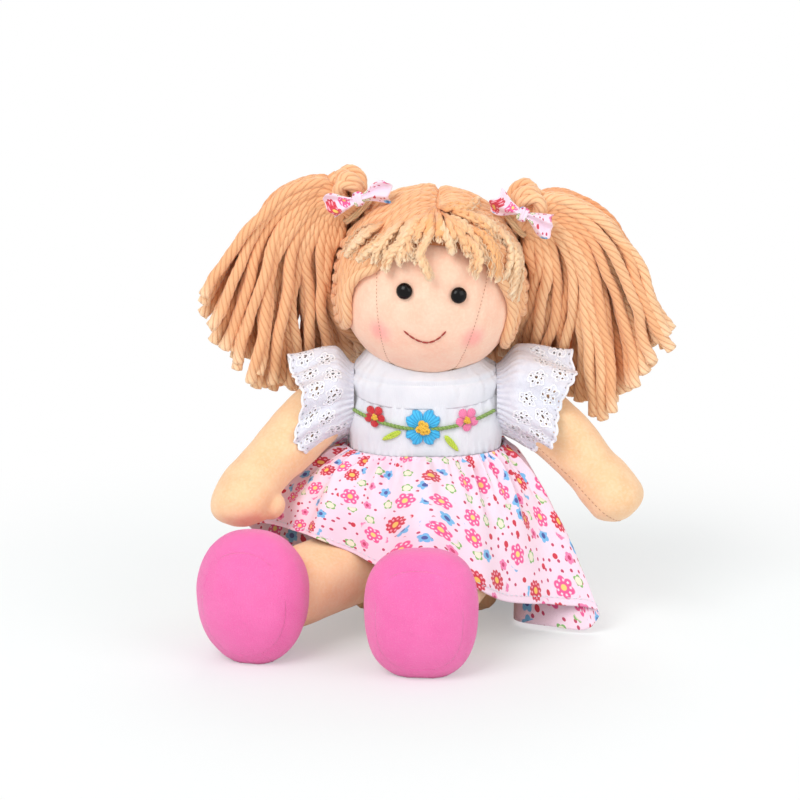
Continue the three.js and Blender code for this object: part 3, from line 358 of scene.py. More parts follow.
def strands(name, routes, radius, step=1.15, sides=15, plies=5, groove=0.12, pitch=-22.0, ends=None, tints=None,
            fade=False):
    """Yarns: each route gets a ring of plies that twists along it, with its own tint."""
    ring_turn = np.arange(sides) / sides * 2 * math.pi
    ply = np.abs(np.sin(ring_turn * plies / 2))**0.6
    points, faces, uvs, tint, way_along = [], [], [], [], []
    start = 0
    for number, route in enumerate(routes):
        line = evened(np.asarray(route, float), step)
        way, beside, across = side_frames(line)
        run = lengths(line)
        share = run / run[-1]
        size = radius[number] if np.ndim(radius) else radius
        reach = size * (ends(share, run[-1]) if ends else 1)
        reach = np.broadcast_to(reach, share.shape)
        turn = ring_turn[None, :] + (run / pitch * 2 * math.pi)[:, None]
        spread = reach[:, None] * (1 - groove + groove * ply)[None, :]
        ring = (line[:, None, :] + (spread * np.cos(turn))[..., None] * beside[:, None, :]
                + (spread * np.sin(turn))[..., None] * across[:, None, :])
        count = len(line)
        points.append(ring.reshape(-1, 3))
        points.append((line[[0, -1]] + way[[0, -1]] * np.array([[-0.3], [0.3]]) * size))
        i, j = np.meshgrid(np.arange(count - 1), np.arange(sides), indexing="ij")
        nxt = (j + 1) % sides
        quads = np.stack([i * sides + j, i * sides + nxt, (i + 1) * sides + nxt, (i + 1) * sides + j], axis=-1)
        faces.extend((quads.reshape(-1, 4) + start).tolist())
        u = np.stack([run[i], run[i], run[i + 1], run[i + 1]], axis=-1).reshape(-1)
        v = np.stack([j, j + 1, j + 1, j], axis=-1).reshape(-1) / sides / MM
        uvs.append(np.stack([u, v], axis=-1))
        first, last = start + count * sides, start + count * sides + 1
        for k in range(sides):
            faces.append([first, start + (k + 1) % sides, start + k])
            faces.append([last, start + (count - 1) * sides + k, start + (count - 1) * sides + (k + 1) % sides])
            spot = k / sides / MM
            uvs.append(np.array([[0, spot]] * 3 + [[run[-1], spot]] * 3))
        tint.append(np.full(count * sides + 2, tints[number] if tints is not None else 0.5))
        way_along.append(np.concatenate([np.repeat(share, sides), [0, 1]]) if fade
                         else np.full(count * sides + 2, 0.5))
        start += count * sides + 2
    made = new_mesh(name, np.vstack(points), faces, uvs)
    for key, values in (("tint", tint), ("along", way_along)):
        layer = made.data.attributes.new(key, "FLOAT", "POINT")
        layer.data.foreach_set("value", np.concatenate(values).astype(np.float32))
    return made


def stitches(name, line, thread, stitch, space):
    """A row of short stitches along a line of points."""
    line = evened(np.asarray(line, float), 0.25)
    run = lengths(line)
    routes = []
    at = space / 2
    while at + stitch < run[-1]:
        spots = np.linspace(at, at + stitch, 6)
        routes.append(np.stack([np.interp(spots, run, line[:, k]) for k in range(3)], axis=1))
        at += stitch + space
    return strands(name, routes, thread / 2, step=stitch / 5, sides=6, plies=2, groove=0.1, pitch=stitch,
                   ends=round_ends(thread / 2))


def round_ends(reach):
    """Share of the full radius near a strand's two ends, which close in a half circle."""
    def shape(share, length):
        near = np.minimum(share, 1 - share) * length
        return np.sqrt(np.clip(1 - (1 - np.minimum(near / reach, 1))**2, 0.06, 1))
    return shape


def belongs(made, body, slot, *nodes):
    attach(made, body)
    if nodes:
        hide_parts(*nodes)


# Materials: a shader's values are reckoned with like any numbers, and each step adds one node
def by(operation, swapped=False):
    """A step of reckoning in a shader."""
    def step(*values):
        tree = next(value.tree for value in values if isinstance(value, Value))
        return maths(tree, operation, *(values[::-1] if swapped else values))
    return step


class Value:
    """A number, place or colour somewhere in a shader's tree."""

    def __init__(self, tree, socket):
        self.tree, self.socket = tree, socket

    __add__, __sub__, __mul__, __truediv__ = by("ADD"), by("SUBTRACT"), by("MULTIPLY"), by("DIVIDE")
    __rsub__, __rtruediv__ = by("SUBTRACT", True), by("DIVIDE", True)
    __gt__, __lt__, __abs__ = by("GREATER_THAN"), by("LESS_THAN"), by("ABSOLUTE")


class Results:
    """The values that come out of a node, by name or number."""

    def __init__(self, tree, sockets):
        self.tree, self.sockets = tree, sockets

    def __getitem__(self, key):
        return Value(self.tree, self.sockets[key])


sine, cosine, root, fraction, floored = (by(kind) for kind in ("SINE", "COSINE", "SQRT", "FRACT", "FLOOR"))
larger, heading, times_plus = by("MAXIMUM"), by("ARCTAN2"), by("MULTIPLY_ADD")


def feed(tree, socket, value):
    if isinstance(value, Value):
        tree.links.new(value.socket, socket)
    else:
        socket.default_value = value


def node(tree, kind, inputs=None, **settings):
    made = tree.nodes.new(kind)
    for key, value in settings.items():
        setattr(made, key, value)
    for key, value in (inputs or {}).items():
        feed(tree, made.inputs[key], value)
    return Results(tree, made.outputs)


def maths(tree, operation, *values, clamp=False):
    return node(tree, "ShaderNodeMath", dict(enumerate(values)), operation=operation, use_clamp=clamp)[0]


def vectors(operation, place, other=None, scale=None):
    """A step of reckoning with a place; a distance or length comes out as a number."""
    inputs = {key: value for key, value in ((0, place), (1, other), ("Scale", scale)) if value is not None}
    made = node(place.tree, "ShaderNodeVectorMath", inputs, operation=operation)
    return made["Value" if operation in ("DISTANCE", "LENGTH") else 0]


def apart(place):
    return node(place.tree, "ShaderNodeSeparateXYZ", {0: place})


def reach_of(x, y):
    return root(x * x + y * y)


def span(value, low, high, to_low=0.0, to_high=1.0):
    """A soft step from one value to another, between low and high."""
    return node(value.tree, "ShaderNodeMapRange", {0: value, 1: low, 2: high, 3: to_low, 4: to_high},
                interpolation_type="SMOOTHSTEP")[0]


def blend_colour(tree, share, a, b):
    return node(tree, "ShaderNodeMix", {0: share, 6: a, 7: b}, data_type="RGBA", blend_type="MIX")[2]


def colour(red, green, blue):
    """A screen colour, 0 to 255, as the shader's own linear one."""
    def linear(value):
        value /= 255
        return value / 12.92 if value <= 0.04045 else ((value + 0.055) / 1.055)**2.4
    return (linear(red), linear(green), linear(blue), 1.0)


def group(name, inputs, outputs):
    made = bpy.data.node_groups.new(name, "ShaderNodeTree")
    kinds = {"colour": "NodeSocketColor", "value": "NodeSocketFloat", "vector": "NodeSocketVector"}
    for key, (kind, value) in inputs.items():
        socket = made.interface.new_socket(key, in_out="INPUT", socket_type=kinds[kind])
        if value is not None:
            socket.default_value = value
    for key, kind in outputs.items():
        made.interface.new_socket(key, in_out="OUTPUT", socket_type=kinds[kind])
    return made, node(made, "NodeGroupInput"), made.nodes.new("NodeGroupOutput").inputs


def use(tree, made, **inputs):
    return node(tree, "ShaderNodeGroup", inputs, node_tree=made)


def new_material(name, **shader):
    made = bpy.data.materials.new(name)
    made.use_nodes = True
    tree = made.node_tree
    tree.nodes.clear()
    end = tree.nodes.new("ShaderNodeOutputMaterial")
    principled = tree.nodes.new("ShaderNodeBsdfPrincipled")
    tree.links.new(principled.outputs[0], end.inputs[0])
    for key, value in shader.items():
        principled.inputs[key.replace("_", " ")].default_value = value
    return made, tree, principled.inputs


def dyed(material, shade, height, strength, distance):
    """Ends a material: its colour, and a bump from its height."""
    made, tree, shader = material
    if shade is not None:
        feed(tree, shader["Base Color"], shade)
    bump = node(tree, "ShaderNodeBump", {"Strength": strength, "Distance": distance, "Height": height})
    feed(tree, shader["Normal"], bump[0])
    return made


def object_place(tree):
    return node(tree, "ShaderNodeTexCoord")["Object"]


def cloth_place(tree):
    return node(tree, "ShaderNodeUVMap", uv_map="cloth")[0]


def weave_group():
    """Threads over and under each other: height, and how deep in the gaps a place lies, which the finishes use as
    painted shade in the gaps.
    """
    made, given, out = group("plain weave", {"Place": ("vector", None), "Thread": ("value", 0.0005)},
                             {"Height": "value", "Gap": "value"})
    parts = apart(vectors("SCALE", given["Place"], scale=math.pi / given["Thread"]))
    cross = sine(parts[0] + parts[2]) * sine(parts[1] + parts[2])
    feed(made, out["Height"], times_plus(cross, 0.5, 0.5))
    feed(made, out["Gap"], 1.0 - abs(cross))
    return made


def mottle_group():
    """Uneven dye: a soft large cloudiness and a finer one, between 0 and 1."""
    made, given, out = group("mottle", {"Place": ("vector", None), "Size": ("value", 0.01)},
                             {"Value": "value", "Fine": "value"})
    scale = 1.0 / given["Size"]
    for key, fineness, detail in (("Value", scale, 3.0), ("Fine", scale * 7.0, 4.0)):
        cloud = node(made, "ShaderNodeTexNoise", {"Vector": given["Place"], "Scale": fineness, "Detail": detail})
        feed(made, out[key], cloud[0])
    return made


def motif_group():
    """One printed flower in some of the cells of a scattered grid: petals, centre and a dotted ring."""
    made, given, out = group("motif", {
        "Place": ("vector", None), "Cell": ("value", 0.018), "Reach": ("value", 0.0042), "Petals": ("value", 5.0),
        "Notch": ("value", 0.25), "Centre": ("value", 0.3), "From": ("value", 0.0), "To": ("value", 1.0),
        "Shift": ("vector", (0, 0, 0)),
    }, {"Petal": "value", "Centre": "value", "Ring": "value", "Near": "value"})
    cells = vectors("SCALE", vectors("ADD", given["Place"], given["Shift"]), scale=1.0 / given["Cell"])
    scatter = node(made, "ShaderNodeTexVoronoi", {"Vector": cells, "Scale": 1.0, "Randomness": 0.62},
                   voronoi_dimensions="2D")
    parts = apart(vectors("SUBTRACT", cells, scatter["Position"]))
    chances = node(made, "ShaderNodeSeparateColor", {0: scatter["Color"]})
    turn = heading(parts[1], parts[0]) + chances[1] * 6.28
    lobes = abs(cosine(turn * (given["Petals"] * 0.5)))
    edge = 1.0 - given["Notch"] * (1.0 - lobes)
    flat = node(made, "ShaderNodeCombineXYZ", {0: parts[0], 1: parts[1]})[0]
    share = vectors("LENGTH", flat) * given["Cell"] / given["Reach"]
    picked = (chances[0] > given["From"]) * (chances[0] < given["To"])
    ring = (cosine(turn * 9.0) > 0.1) * span(abs(share - 0.62), 0.13, 0.07)
    for key, value in (("Petal", span(share / edge, 1.04, 0.92)), ("Ring", ring), ("Near", span(share, 1.5, 1.3)),
                       ("Centre", span(share, given["Centre"] + 0.06, given["Centre"]))):
        feed(made, out[key], value * picked)
    return made


def print_group():
    """A small scattered flower print in a few plain colours on a pinkish white ground."""
    made, given, out = group("flower print", {"Place": ("vector", None)}, {"Colour": "colour"})

    def flower(**values):
        return use(made, motif, Place=given["Place"], **values)

    large = {"Cell": 0.0148, "Reach": 0.0050}
    medium = {"Cell": 0.0098, "Shift": (0.17, 0.43, 0)}
    daisy = flower(Petals=11.0, Notch=0.2, Centre=0.26, To=0.42, **large)
    bloom = flower(Petals=6.0, Notch=0.26, Centre=0.24, From=0.42, To=0.72, **large)
    free = maths(made, "SUBTRACT", 1.0, daisy["Near"] + bloom["Near"], clamp=True)
    red, dots = colour(212, 34, 56), colour(196, 50, 90)
    result = colour(252, 226, 240)
    for petals, centre, values in (
        (dots, dots, dict(Cell=0.0050, Reach=0.0008, Petals=1.0, Notch=0.0, Centre=0.0, To=0.62, Shift=(0.3, 0.1, 0))),
        (colour(112, 190, 236), colour(56, 84, 160), dict(Reach=0.0034, Petals=5.0, Notch=0.32, Centre=0.34,
                                                          To=0.3, **medium)),
        (colour(244, 130, 178), colour(208, 50, 104), dict(Reach=0.0027, Petals=5.0, Notch=0.25, Centre=0.35,
                                                           From=0.3, To=0.52, **medium)),
        (colour(122, 190, 96), colour(244, 240, 214), dict(Reach=0.0029, Petals=5.0, Notch=0.3, Centre=0.62,
                                                           From=0.52, To=0.76, **medium)),
        (red, red, dict(Reach=0.0014, Petals=1.0, Notch=0.0, Centre=0.0, From=0.76, To=0.98, **medium)),
    ):
        small = flower(**values)
        result = blend_colour(made, small["Petal"] * free, result, petals)
        result = blend_colour(made, small["Centre"] * free, result, centre)
    for bold, petals, ring, centre in (
        (daisy, red, colour(250, 170, 186), colour(250, 205, 90)),
        (bloom, colour(244, 84, 150), colour(255, 226, 238), colour(250, 222, 120)),
    ):
        for key, shade in (("Petal", petals), ("Ring", ring), ("Centre", centre)):
            result = blend_colour(made, bold[key], result, shade)
    feed(made, out["Colour"], result)
    return made


def fibre_group():
    """Spun fibres along a strand's own length and turn: the grooves between the plies, which the finishes darken as
    painted shade, a tone per fibre, and the height.
    """
    made, given, out = group("spun fibre", {"Place": ("vector", None), "Plies": ("value", 4.0),
                                            "Fineness": ("value", 1.0)},
                             {"Groove": "value", "Fibre": "value", "Height": "value"})
    parts = apart(given["Place"])
    groove = span(abs(sine(parts[1] * (given["Plies"] * math.pi))), 0.62, 0.0)
    turn = parts[1] * (2 * math.pi)
    stretched = node(made, "ShaderNodeCombineXYZ", {
        0: parts[0] * (given["Fineness"] * 160.0), 1: sine(turn) * 2.4, 2: cosine(turn) * 2.4})[0]
    fibre = node(made, "ShaderNodeTexNoise", {"Vector": stretched, "Scale": 1.6, "Detail": 5.0, "Roughness": 0.7})[0]
    for key, value in (("Groove", groove), ("Fibre", fibre), ("Height", fibre - groove)):
        feed(made, out[key], value)
    return made


weave = weave_group()
mottle = mottle_group()
motif = motif_group()
flower_print = print_group()
spun = fibre_group()

# Middles of the cheeks' blush, in metres
CHEEKS = ((-19.6 * MM, -28.0 * MM, 134.0 * MM), (19.7 * MM, -28.0 * MM, 131.7 * MM))


def skin_finish(name, base, deep, blush=False):
    material = new_material(name, Roughness=0.9, Sheen_Weight=0.25, Sheen_Roughness=0.6, Specular_IOR_Level=0.15)
    tree = material[1]
    place = object_place(tree)
    cloud = use(tree, mottle, Place=place, Size=0.009)
    threads = use(tree, weave, Place=place, Thread=0.00055)
    shade = blend_colour(tree, span(cloud["Value"], 0.35, 0.68), base, deep)
    shade = blend_colour(tree, span(cloud["Fine"], 0.4, 0.7) * 0.16, shade, colour(255, 240, 220))
    if blush:
        first, second = (span(vectors("DISTANCE", place, spot), 0.0080, 0.0006) for spot in CHEEKS)
        shade = blend_colour(tree, (first + second) * 0.5, shade, colour(255, 134, 146))
    return dyed(material, shade, threads["Height"] * 0.35 + cloud["Fine"], 0.35, 0.0004)


def cotton_finish(name, base, deep):
    material = new_material(name, Roughness=0.82, Sheen_Weight=0.2, Specular_IOR_Level=0.2)
    tree = material[1]
    place = object_place(tree)
    threads = use(tree, weave, Place=place, Thread=0.0005)
    cloud = use(tree, mottle, Place=place, Size=0.012)
    # Painted shade darkens the gaps between the threads; the cloudiness below is uneven dye.
    shade = blend_colour(tree, threads["Gap"] * 0.3, base, deep)
    shade = blend_colour(tree, span(cloud["Value"], 0.4, 0.7) * 0.35, shade, deep)
    return dyed(material, shade, threads["Height"] + cloud["Fine"] * 0.8, 0.35, 0.0003)


def print_finish(name, gap, gap_shade_colour, faded=0.0, ground=None, **shader):
    """The flower print in its weave, with painted shade in the gaps between the threads; the cloth's wrong side shows
    it faded through a dusky ground, which is painted shade for the skirt's inside.
    """
    material = new_material(name, **shader)
    tree = material[1]
    place = cloth_place(tree)
    threads = use(tree, weave, Place=place, Thread=0.0005)
    shade = use(tree, flower_print, Place=place)["Colour"]
    # The wrong side: the print really fades there, and the dusky mauve ground it fades into is painted shade.
    if faded:
        shade = blend_colour(tree, faded, shade, ground)
    # Painted shade darkens the gaps between the threads.
    return dyed(material, blend_colour(tree, threads["Gap"] * gap, shade, gap_shade_colour), threads["Height"], 0.3, 0.0003)


def lace_finish(name):
    """White eyelet lace: flowers of small stitched holes over a dotted edge, in the cloth's own measure."""
    material = new_material(name, Roughness=0.8, Sheen_Weight=0.2, Specular_IOR_Level=0.2)
    tree, shader = material[1:]
    place = cloth_place(tree)
    parts = apart(place)
    wide, tall, edge, dot = 10.5 * MM, 8.6 * MM, 2.6 * MM, 2.3 * MM
    rows = (parts[1] - edge) / tall
    x = (fraction(parts[0] / wide + floored(rows) * 0.5) - 0.5) * wide
    y = (fraction(rows) - 0.5) * tall
    far, turn = reach_of(x, y), heading(y, x)
    fold = (fraction(times_plus(turn, 6 / (2 * math.pi), 3.0)) - 0.5) * (2 * math.pi / 6)
    to_ring = reach_of(far * cosine(fold) - 2.45 * MM, far * sine(fold))
    to_edge = reach_of((fraction(parts[0] / dot) - 0.5) * dot, parts[1] - 1.7 * MM)
    flowered = (parts[1] > edge) * (parts[1] < 19.8 * MM)
    holes = larger(flowered * larger(far < 0.72 * MM, to_ring < 0.42 * MM), to_edge < 0.32 * MM)
    rims = larger(span(abs(far - 1.05 * MM), 0.0006, 0.0002), span(abs(to_ring - 0.75 * MM), 0.0005, 0.00015))
    petals = span(abs(far - times_plus(cosine(turn * 6.0), 0.0005, 0.0037)), 0.0006, 0.0002)
    raised = larger(flowered * larger(rims, petals), span(parts[1], 0.0013, 0.0008))
    threads = use(tree, weave, Place=place, Thread=0.0006)
    fine = use(tree, mottle, Place=object_place(tree), Size=0.0024)
    # Painted shade darkens the gaps between the threads.
    shade = blend_colour(tree, threads["Gap"] * 0.25, colour(228, 228, 237), colour(196, 198, 214))
    shade = blend_colour(tree, span(fine["Value"], 0.45, 0.65) * 0.35, shade, colour(206, 206, 220))
    shade = blend_colour(tree, raised * 0.8, shade, colour(248, 248, 252))
    feed(tree, shader["Alpha"], 1.0 - holes)
    return dyed(material, shade, threads["Height"] * 0.3 + raised, 0.6, 0.0005)


def yarn_finish(name, pale, deep, shadow, plies=5.0, groove_share=0.5, root_colour=None, tip=None):
    material = new_material(name, Roughness=0.92, Sheen_Weight=0.3, Sheen_Roughness=0.5, Specular_IOR_Level=0.15)
    tree = material[1]
    fibres = use(tree, spun, Place=cloth_place(tree), Plies=plies)
    tint, along = (node(tree, "ShaderNodeAttribute", attribute_name=key)["Fac"] for key in ("tint", "along"))
    shade = blend_colour(tree, tint, pale, deep)
    if root_colour:
        shade = blend_colour(tree, span(along, 0.5, 0.02) * 0.8, shade, root_colour)
    if tip:
        shade = blend_colour(tree, span(along, 0.9, 1.0), shade, tip)
    shade = blend_colour(tree, span(fibres["Fibre"], 0.6, 0.32) * 0.4, shade, deep)
    shade = blend_colour(tree, fibres["Groove"] * groove_share, shade, shadow)
    return dyed(material, shade, fibres["Height"], 0.5, 0.0005)


def felt_finish(name, base, deep, pale, fuzz=0.0011):
    material = new_material(name, Roughness=0.95, Sheen_Weight=0.35, Sheen_Roughness=0.45, Specular_IOR_Level=0.1)
    tree = material[1]
    place = object_place(tree)
    cloud = use(tree, mottle, Place=place, Size=0.011)
    fine = use(tree, mottle, Place=place, Size=fuzz * 2)
    threads = use(tree, weave, Place=place, Thread=fuzz * 0.5)
    shade = blend_colour(tree, span(cloud["Value"], 0.35, 0.7) * 0.35, base, deep)
    # Painted shade darkens the gaps between the threads.
    shade = blend_colour(tree, threads["Gap"] * 0.35, shade, deep)
    shade = blend_colour(tree, span(fine["Fine"], 0.5, 0.75) * 0.45, shade, pale)
    height = fine["Value"] * 0.5 + fine["Fine"] * 0.8 + threads["Height"] * 0.2
    return dyed(material, shade, height, 0.8, 0.0006)


def thread_finish(name, base, deep, gloss=0.45):
    """Embroidery thread: fine filaments along the strand with a low shine, and painted shade in the grooves between
    its plies.
    """
    material = new_material(name, Roughness=gloss, Sheen_Weight=0.3, Specular_IOR_Level=0.4)
    tree = material[1]
    fibres = use(tree, spun, Place=cloth_place(tree), Plies=2.0, Fineness=2.5)
    # Painted shade darkens the grooves between the plies.
    shade = blend_colour(tree, fibres["Groove"] * 0.7, base, deep)
    shade = blend_colour(tree, span(fibres["Fibre"], 0.6, 0.35) * 0.5, shade, deep)
    return dyed(material, shade, fibres["Height"], 0.5, 0.0003)


def satin_finish(name, base, deep):
    """Rows of stitches, one a millimetre, that fan out from the middle of a flower, with painted shade between the
    rows.
    """
    material = new_material(name, Roughness=0.5, Sheen_Weight=0.4, Specular_IOR_Level=0.35)
    tree = material[1]
    rows = abs(sine(apart(cloth_place(tree))[0] * (math.pi / MM)))
    cloud = use(tree, mottle, Place=object_place(tree), Size=0.002)
    # Painted shade darkens the gaps between the rows of stitches.
    shade = blend_colour(tree, span(rows, 0.6, 0.05) * 0.7, base, deep)
    shade = blend_colour(tree, span(cloud["Value"], 0.4, 0.7) * 0.3, shade, deep)
    return dyed(material, shade, rows, 0.6, 0.0004)


def plastic_finish(name, base, roughness):
    material = new_material(name, Base_Color=base, Specular_IOR_Level=0.2)
    tree, shader = material[1:]
    cloud = use(tree, mottle, Place=object_place(tree), Size=0.003)
    feed(tree, shader["Roughness"], span(cloud["Value"], 0.2, 0.8, roughness, roughness + 0.1))
    return dyed(material, None, cloud["Fine"], 0.04, 0.0002)


finishes = {
    "face": skin_finish("face_cloth", colour(251, 208, 182), colour(249, 199, 172), blush=True),
    "limb": skin_finish("limb_cloth", colour(247, 205, 160), colour(244, 196, 149)),
    "white": cotton_finish("white_cotton", colour(231, 231, 236), colour(206, 208, 219)),
    "print": print_finish("print_cotton", 0.16, colour(214, 180, 200), Roughness=0.85, Sheen_Weight=0.2,
                          Specular_IOR_Level=0.2),
    # The skirt's inside: the print faded through a dusky mauve ground with darker gaps, both painted shade.
    "reverse": print_finish("print_reverse_shaded", 0.2, colour(150, 90, 104), 0.78, colour(206, 146, 160), Roughness=0.9,
                            Sheen_Weight=0.15, Specular_IOR_Level=0.15),
    "lace": lace_finish("lace_cotton"),
    "yarn": yarn_finish("hair_yarn", colour(250, 205, 159), colour(236, 163, 112), colour(206, 118, 70),
                        groove_share=0.45, tip=colour(253, 218, 178)),
    "under": yarn_finish("under_yarn", colour(243, 190, 146), colour(234, 170, 122), colour(206, 136, 92)),
    "roving": yarn_finish("fringe_yarn", colour(255, 224, 186), colour(250, 186, 126), colour(238, 166, 112), 3.0,
                          0.16, root_colour=colour(236, 156, 98), tip=colour(255, 232, 200)),
    "boot": felt_finish("boot_felt", colour(252, 122, 188), colour(240, 100, 170), colour(255, 164, 210)),
    "red": satin_finish("red_thread", colour(218, 34, 46), colour(150, 10, 26)),
    "blue": satin_finish("blue_thread", colour(60, 186, 236), colour(16, 130, 196)),
    "pink": satin_finish("pink_thread", colour(250, 136, 180), colour(222, 84, 140)),
    "yellow": thread_finish("yellow_thread", colour(250, 204, 66), colour(214, 146, 20)),
    "stem": thread_finish("stem_thread", colour(140, 172, 86), colour(76, 110, 44)),
    "leaf": thread_finish("leaf_thread", colour(214, 234, 80), colour(160, 186, 40)),
    "mouth": thread_finish("mouth_thread", colour(176, 56, 40), colour(116, 26, 20)),
    "seam": thread_finish("seam_thread", colour(214, 160, 130), colour(170, 120, 96), 0.8),
    "white_thread": thread_finish("white_thread", colour(244, 244, 250), colour(206, 206, 220), 0.7),
    "eye": plastic_finish("eye_plastic", colour(8, 5, 5), 0.12),
    "washer": plastic_finish("washer_plastic", colour(232, 232, 228), 0.4),
    "elastic": thread_finish("hair_elastic", colour(233, 199, 154), colour(190, 146, 100), 0.8),
    "tape": felt_finish("closing_tape", colour(240, 240, 240), colour(220, 220, 222), colour(250, 250, 250), 0.0006),
}


def finished(made, *names):
    made.data.materials.clear()
    for name in names:
        made.data.materials.append(finishes[name])


def dressed(made, finish, body, slot, *nodes):
    """Gives a piece its finish and the body it rides on, and hides the nodes that it stands for; its slot is not used.
    """
    finished(made, finish)
    belongs(made, body, slot, *nodes)


def copied_node(node_name, name):
    """The node's own form as a new piece, with its loose triangles merged."""
    made = bpy.data.objects.new(name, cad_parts[node_name].data.copy())
    bpy.context.scene.collection.objects.link(made)
    face_out(made)
    return made


def remeshed(made, voxel, rounds):
    apply_modifier(made, "REMESH", mode="VOXEL", voxel_size=voxel * MM)
    apply_modifier(made, "SMOOTH", factor=0.5, iterations=rounds)
    return smooth_shaded(made)


def places(made):
    flat = np.empty(len(made.data.vertices) * 3)
    made.data.vertices.foreach_get("co", flat)
    return flat.reshape(-1, 3) / MM


def set_places(made, points):
    made.data.vertices.foreach_set("co", (points * MM).ravel())
    made.data.update()


def normals(made):
    flat = np.empty(len(made.data.vertices) * 3)
    made.data.vertices.foreach_get("normal", flat)
    return flat.reshape(-1, 3)


def lumpy(made, depth, size, seed, grown=0.0, above=-math.inf):
    """Pushes a piece out and in by soft lumps, where it lies above a height."""
    points = places(made)
    push = (grown + depth * lumps(points, size, seed))[:, None]
    set_places(made, points + normals(made) * push * (points[:, 2:] > above))


# The stuffed torso, under the dress
def build_torso():
    body = remeshed(copied_node("torso", "stuffed_torso"), 1.5, 8)
    points = places(body)
    points = points + normals(body) * (0.25 * lumps(points, 9.0))[:, None]
    drawn_in = 1 - 0.17 * smooth(22 - points[:, 2], 0, 20) * smooth(-points[:, 1], 2, 16)
    set_places(body, points * np.stack([drawn_in, drawn_in, np.ones(len(points))], axis=1))
    dressed(body, "limb", "torso", "skin_cloth", "torso")


# Bodice: stretched cotton with armholes and a neck hole, a front and two backs
def bodice_panel(name, turn_from, turn_to, node_name):
    turns = np.linspace(turn_from, turn_to, 121)
    shares = np.linspace(0.577, 1.0, 70)
    grid = torso_skin(turns[:, None], shares[None, :], GAP + CLOTH)
    flat = grid.reshape(-1, 3)
    out = unit(flat * np.array([1, 1.4, 0]))
    creases = 0.4 * lumps(flat, 10.0, 3.0) + 0.45 * lumps(flat * np.array([1, 1, 0.25]), 4.5, 8.0)
    near_neck = smooth(flat[:, 2], 88, 106)
    near_waist = smooth(flat[:, 2], 86, 79)
    angle = np.arctan2(flat[:, 0], -flat[:, 1])
    gathers = 0.4 * np.sin(angle * 44) * near_neck + 0.3 * np.sin(angle * 60 + 1) * near_waist
    panel = sheet_of(name, (flat + out * (creases + gathers + 0.3)[:, None]).reshape(grid.shape))
    apply_modifier(panel, "SOLIDIFY", thickness=CLOTH * 0.8 * MM, offset=-1.0)
    tools = [rod_of(64, 13.6 * MM, 40 * MM, (side * 53.4 * MM, SHOULDER[1] * MM, SHOULDER[2] * MM),
                    (0, math.pi / 2, 0)) for side in (-1, 1)]
    tools.append(ball_of(64, 32, 42.5 * MM, (0, 0, 148 * MM)))
    for tool in tools:
        apply_modifier(panel, "BOOLEAN", operation="DIFFERENCE", object=tool, solver="EXACT")
        bpy.data.objects.remove(tool)
    smooth_shaded(panel)
    dressed(panel, "white", "torso", "white_cotton", node_name)
    return panel


def build_bodice():
    front = bodice_panel("cotton_bodice_front", -0.249, 0.249, "bodice_front")
    right = bodice_panel("cotton_bodice_back_right", 0.251, 0.49995, "bodice_back_right")
    left = bodice_panel("cotton_bodice_back_left", 0.50005, 0.749, "bodice_back_left")


def build_flap():
    """The left back panel's edge, which laps over the closing strips and is stitched beside them."""
    across = np.linspace(-CLOSING["half"] - 2.2, CLOSING["half"] + 1.3, 60)
    heights = np.linspace(WAIST_HEIGHT + 0.5, CLOSING["top"], 60)
    x, z = np.meshgrid(across, heights, indexing="ij")
    lift = mix(CLOSING["lift"] + 0.6, GAP + CLOTH + 0.35, smooth(x, CLOSING["half"] + 0.1, CLOSING["half"] + 1.3))
    lift = lift + 0.3 * lumps(np.stack([x, z, 0 * x], axis=-1), 4.0, 2.0) * smooth(CLOSING["half"] - x, 0, 2)
    grid = np.stack([x, -front_of_torso(x, z, lift), z], axis=-1)
    flap = sheet_of("closing_flap", grid)
    face_away(flap, from_upright)
    apply_modifier(flap, "SOLIDIFY", thickness=SHEET * MM, offset=-1.0)
    dressed(flap, "white", "torso", "white_cotton")
    rows = [stitches(f"flap{column}", grid[column] + np.array([0, 0.1, 0]), 0.32, 1.5, 0.8) for column in (52, 5)]
    line = joined("flap_stitches", rows)
    dressed(line, "white_thread", "torso", "white_cotton")


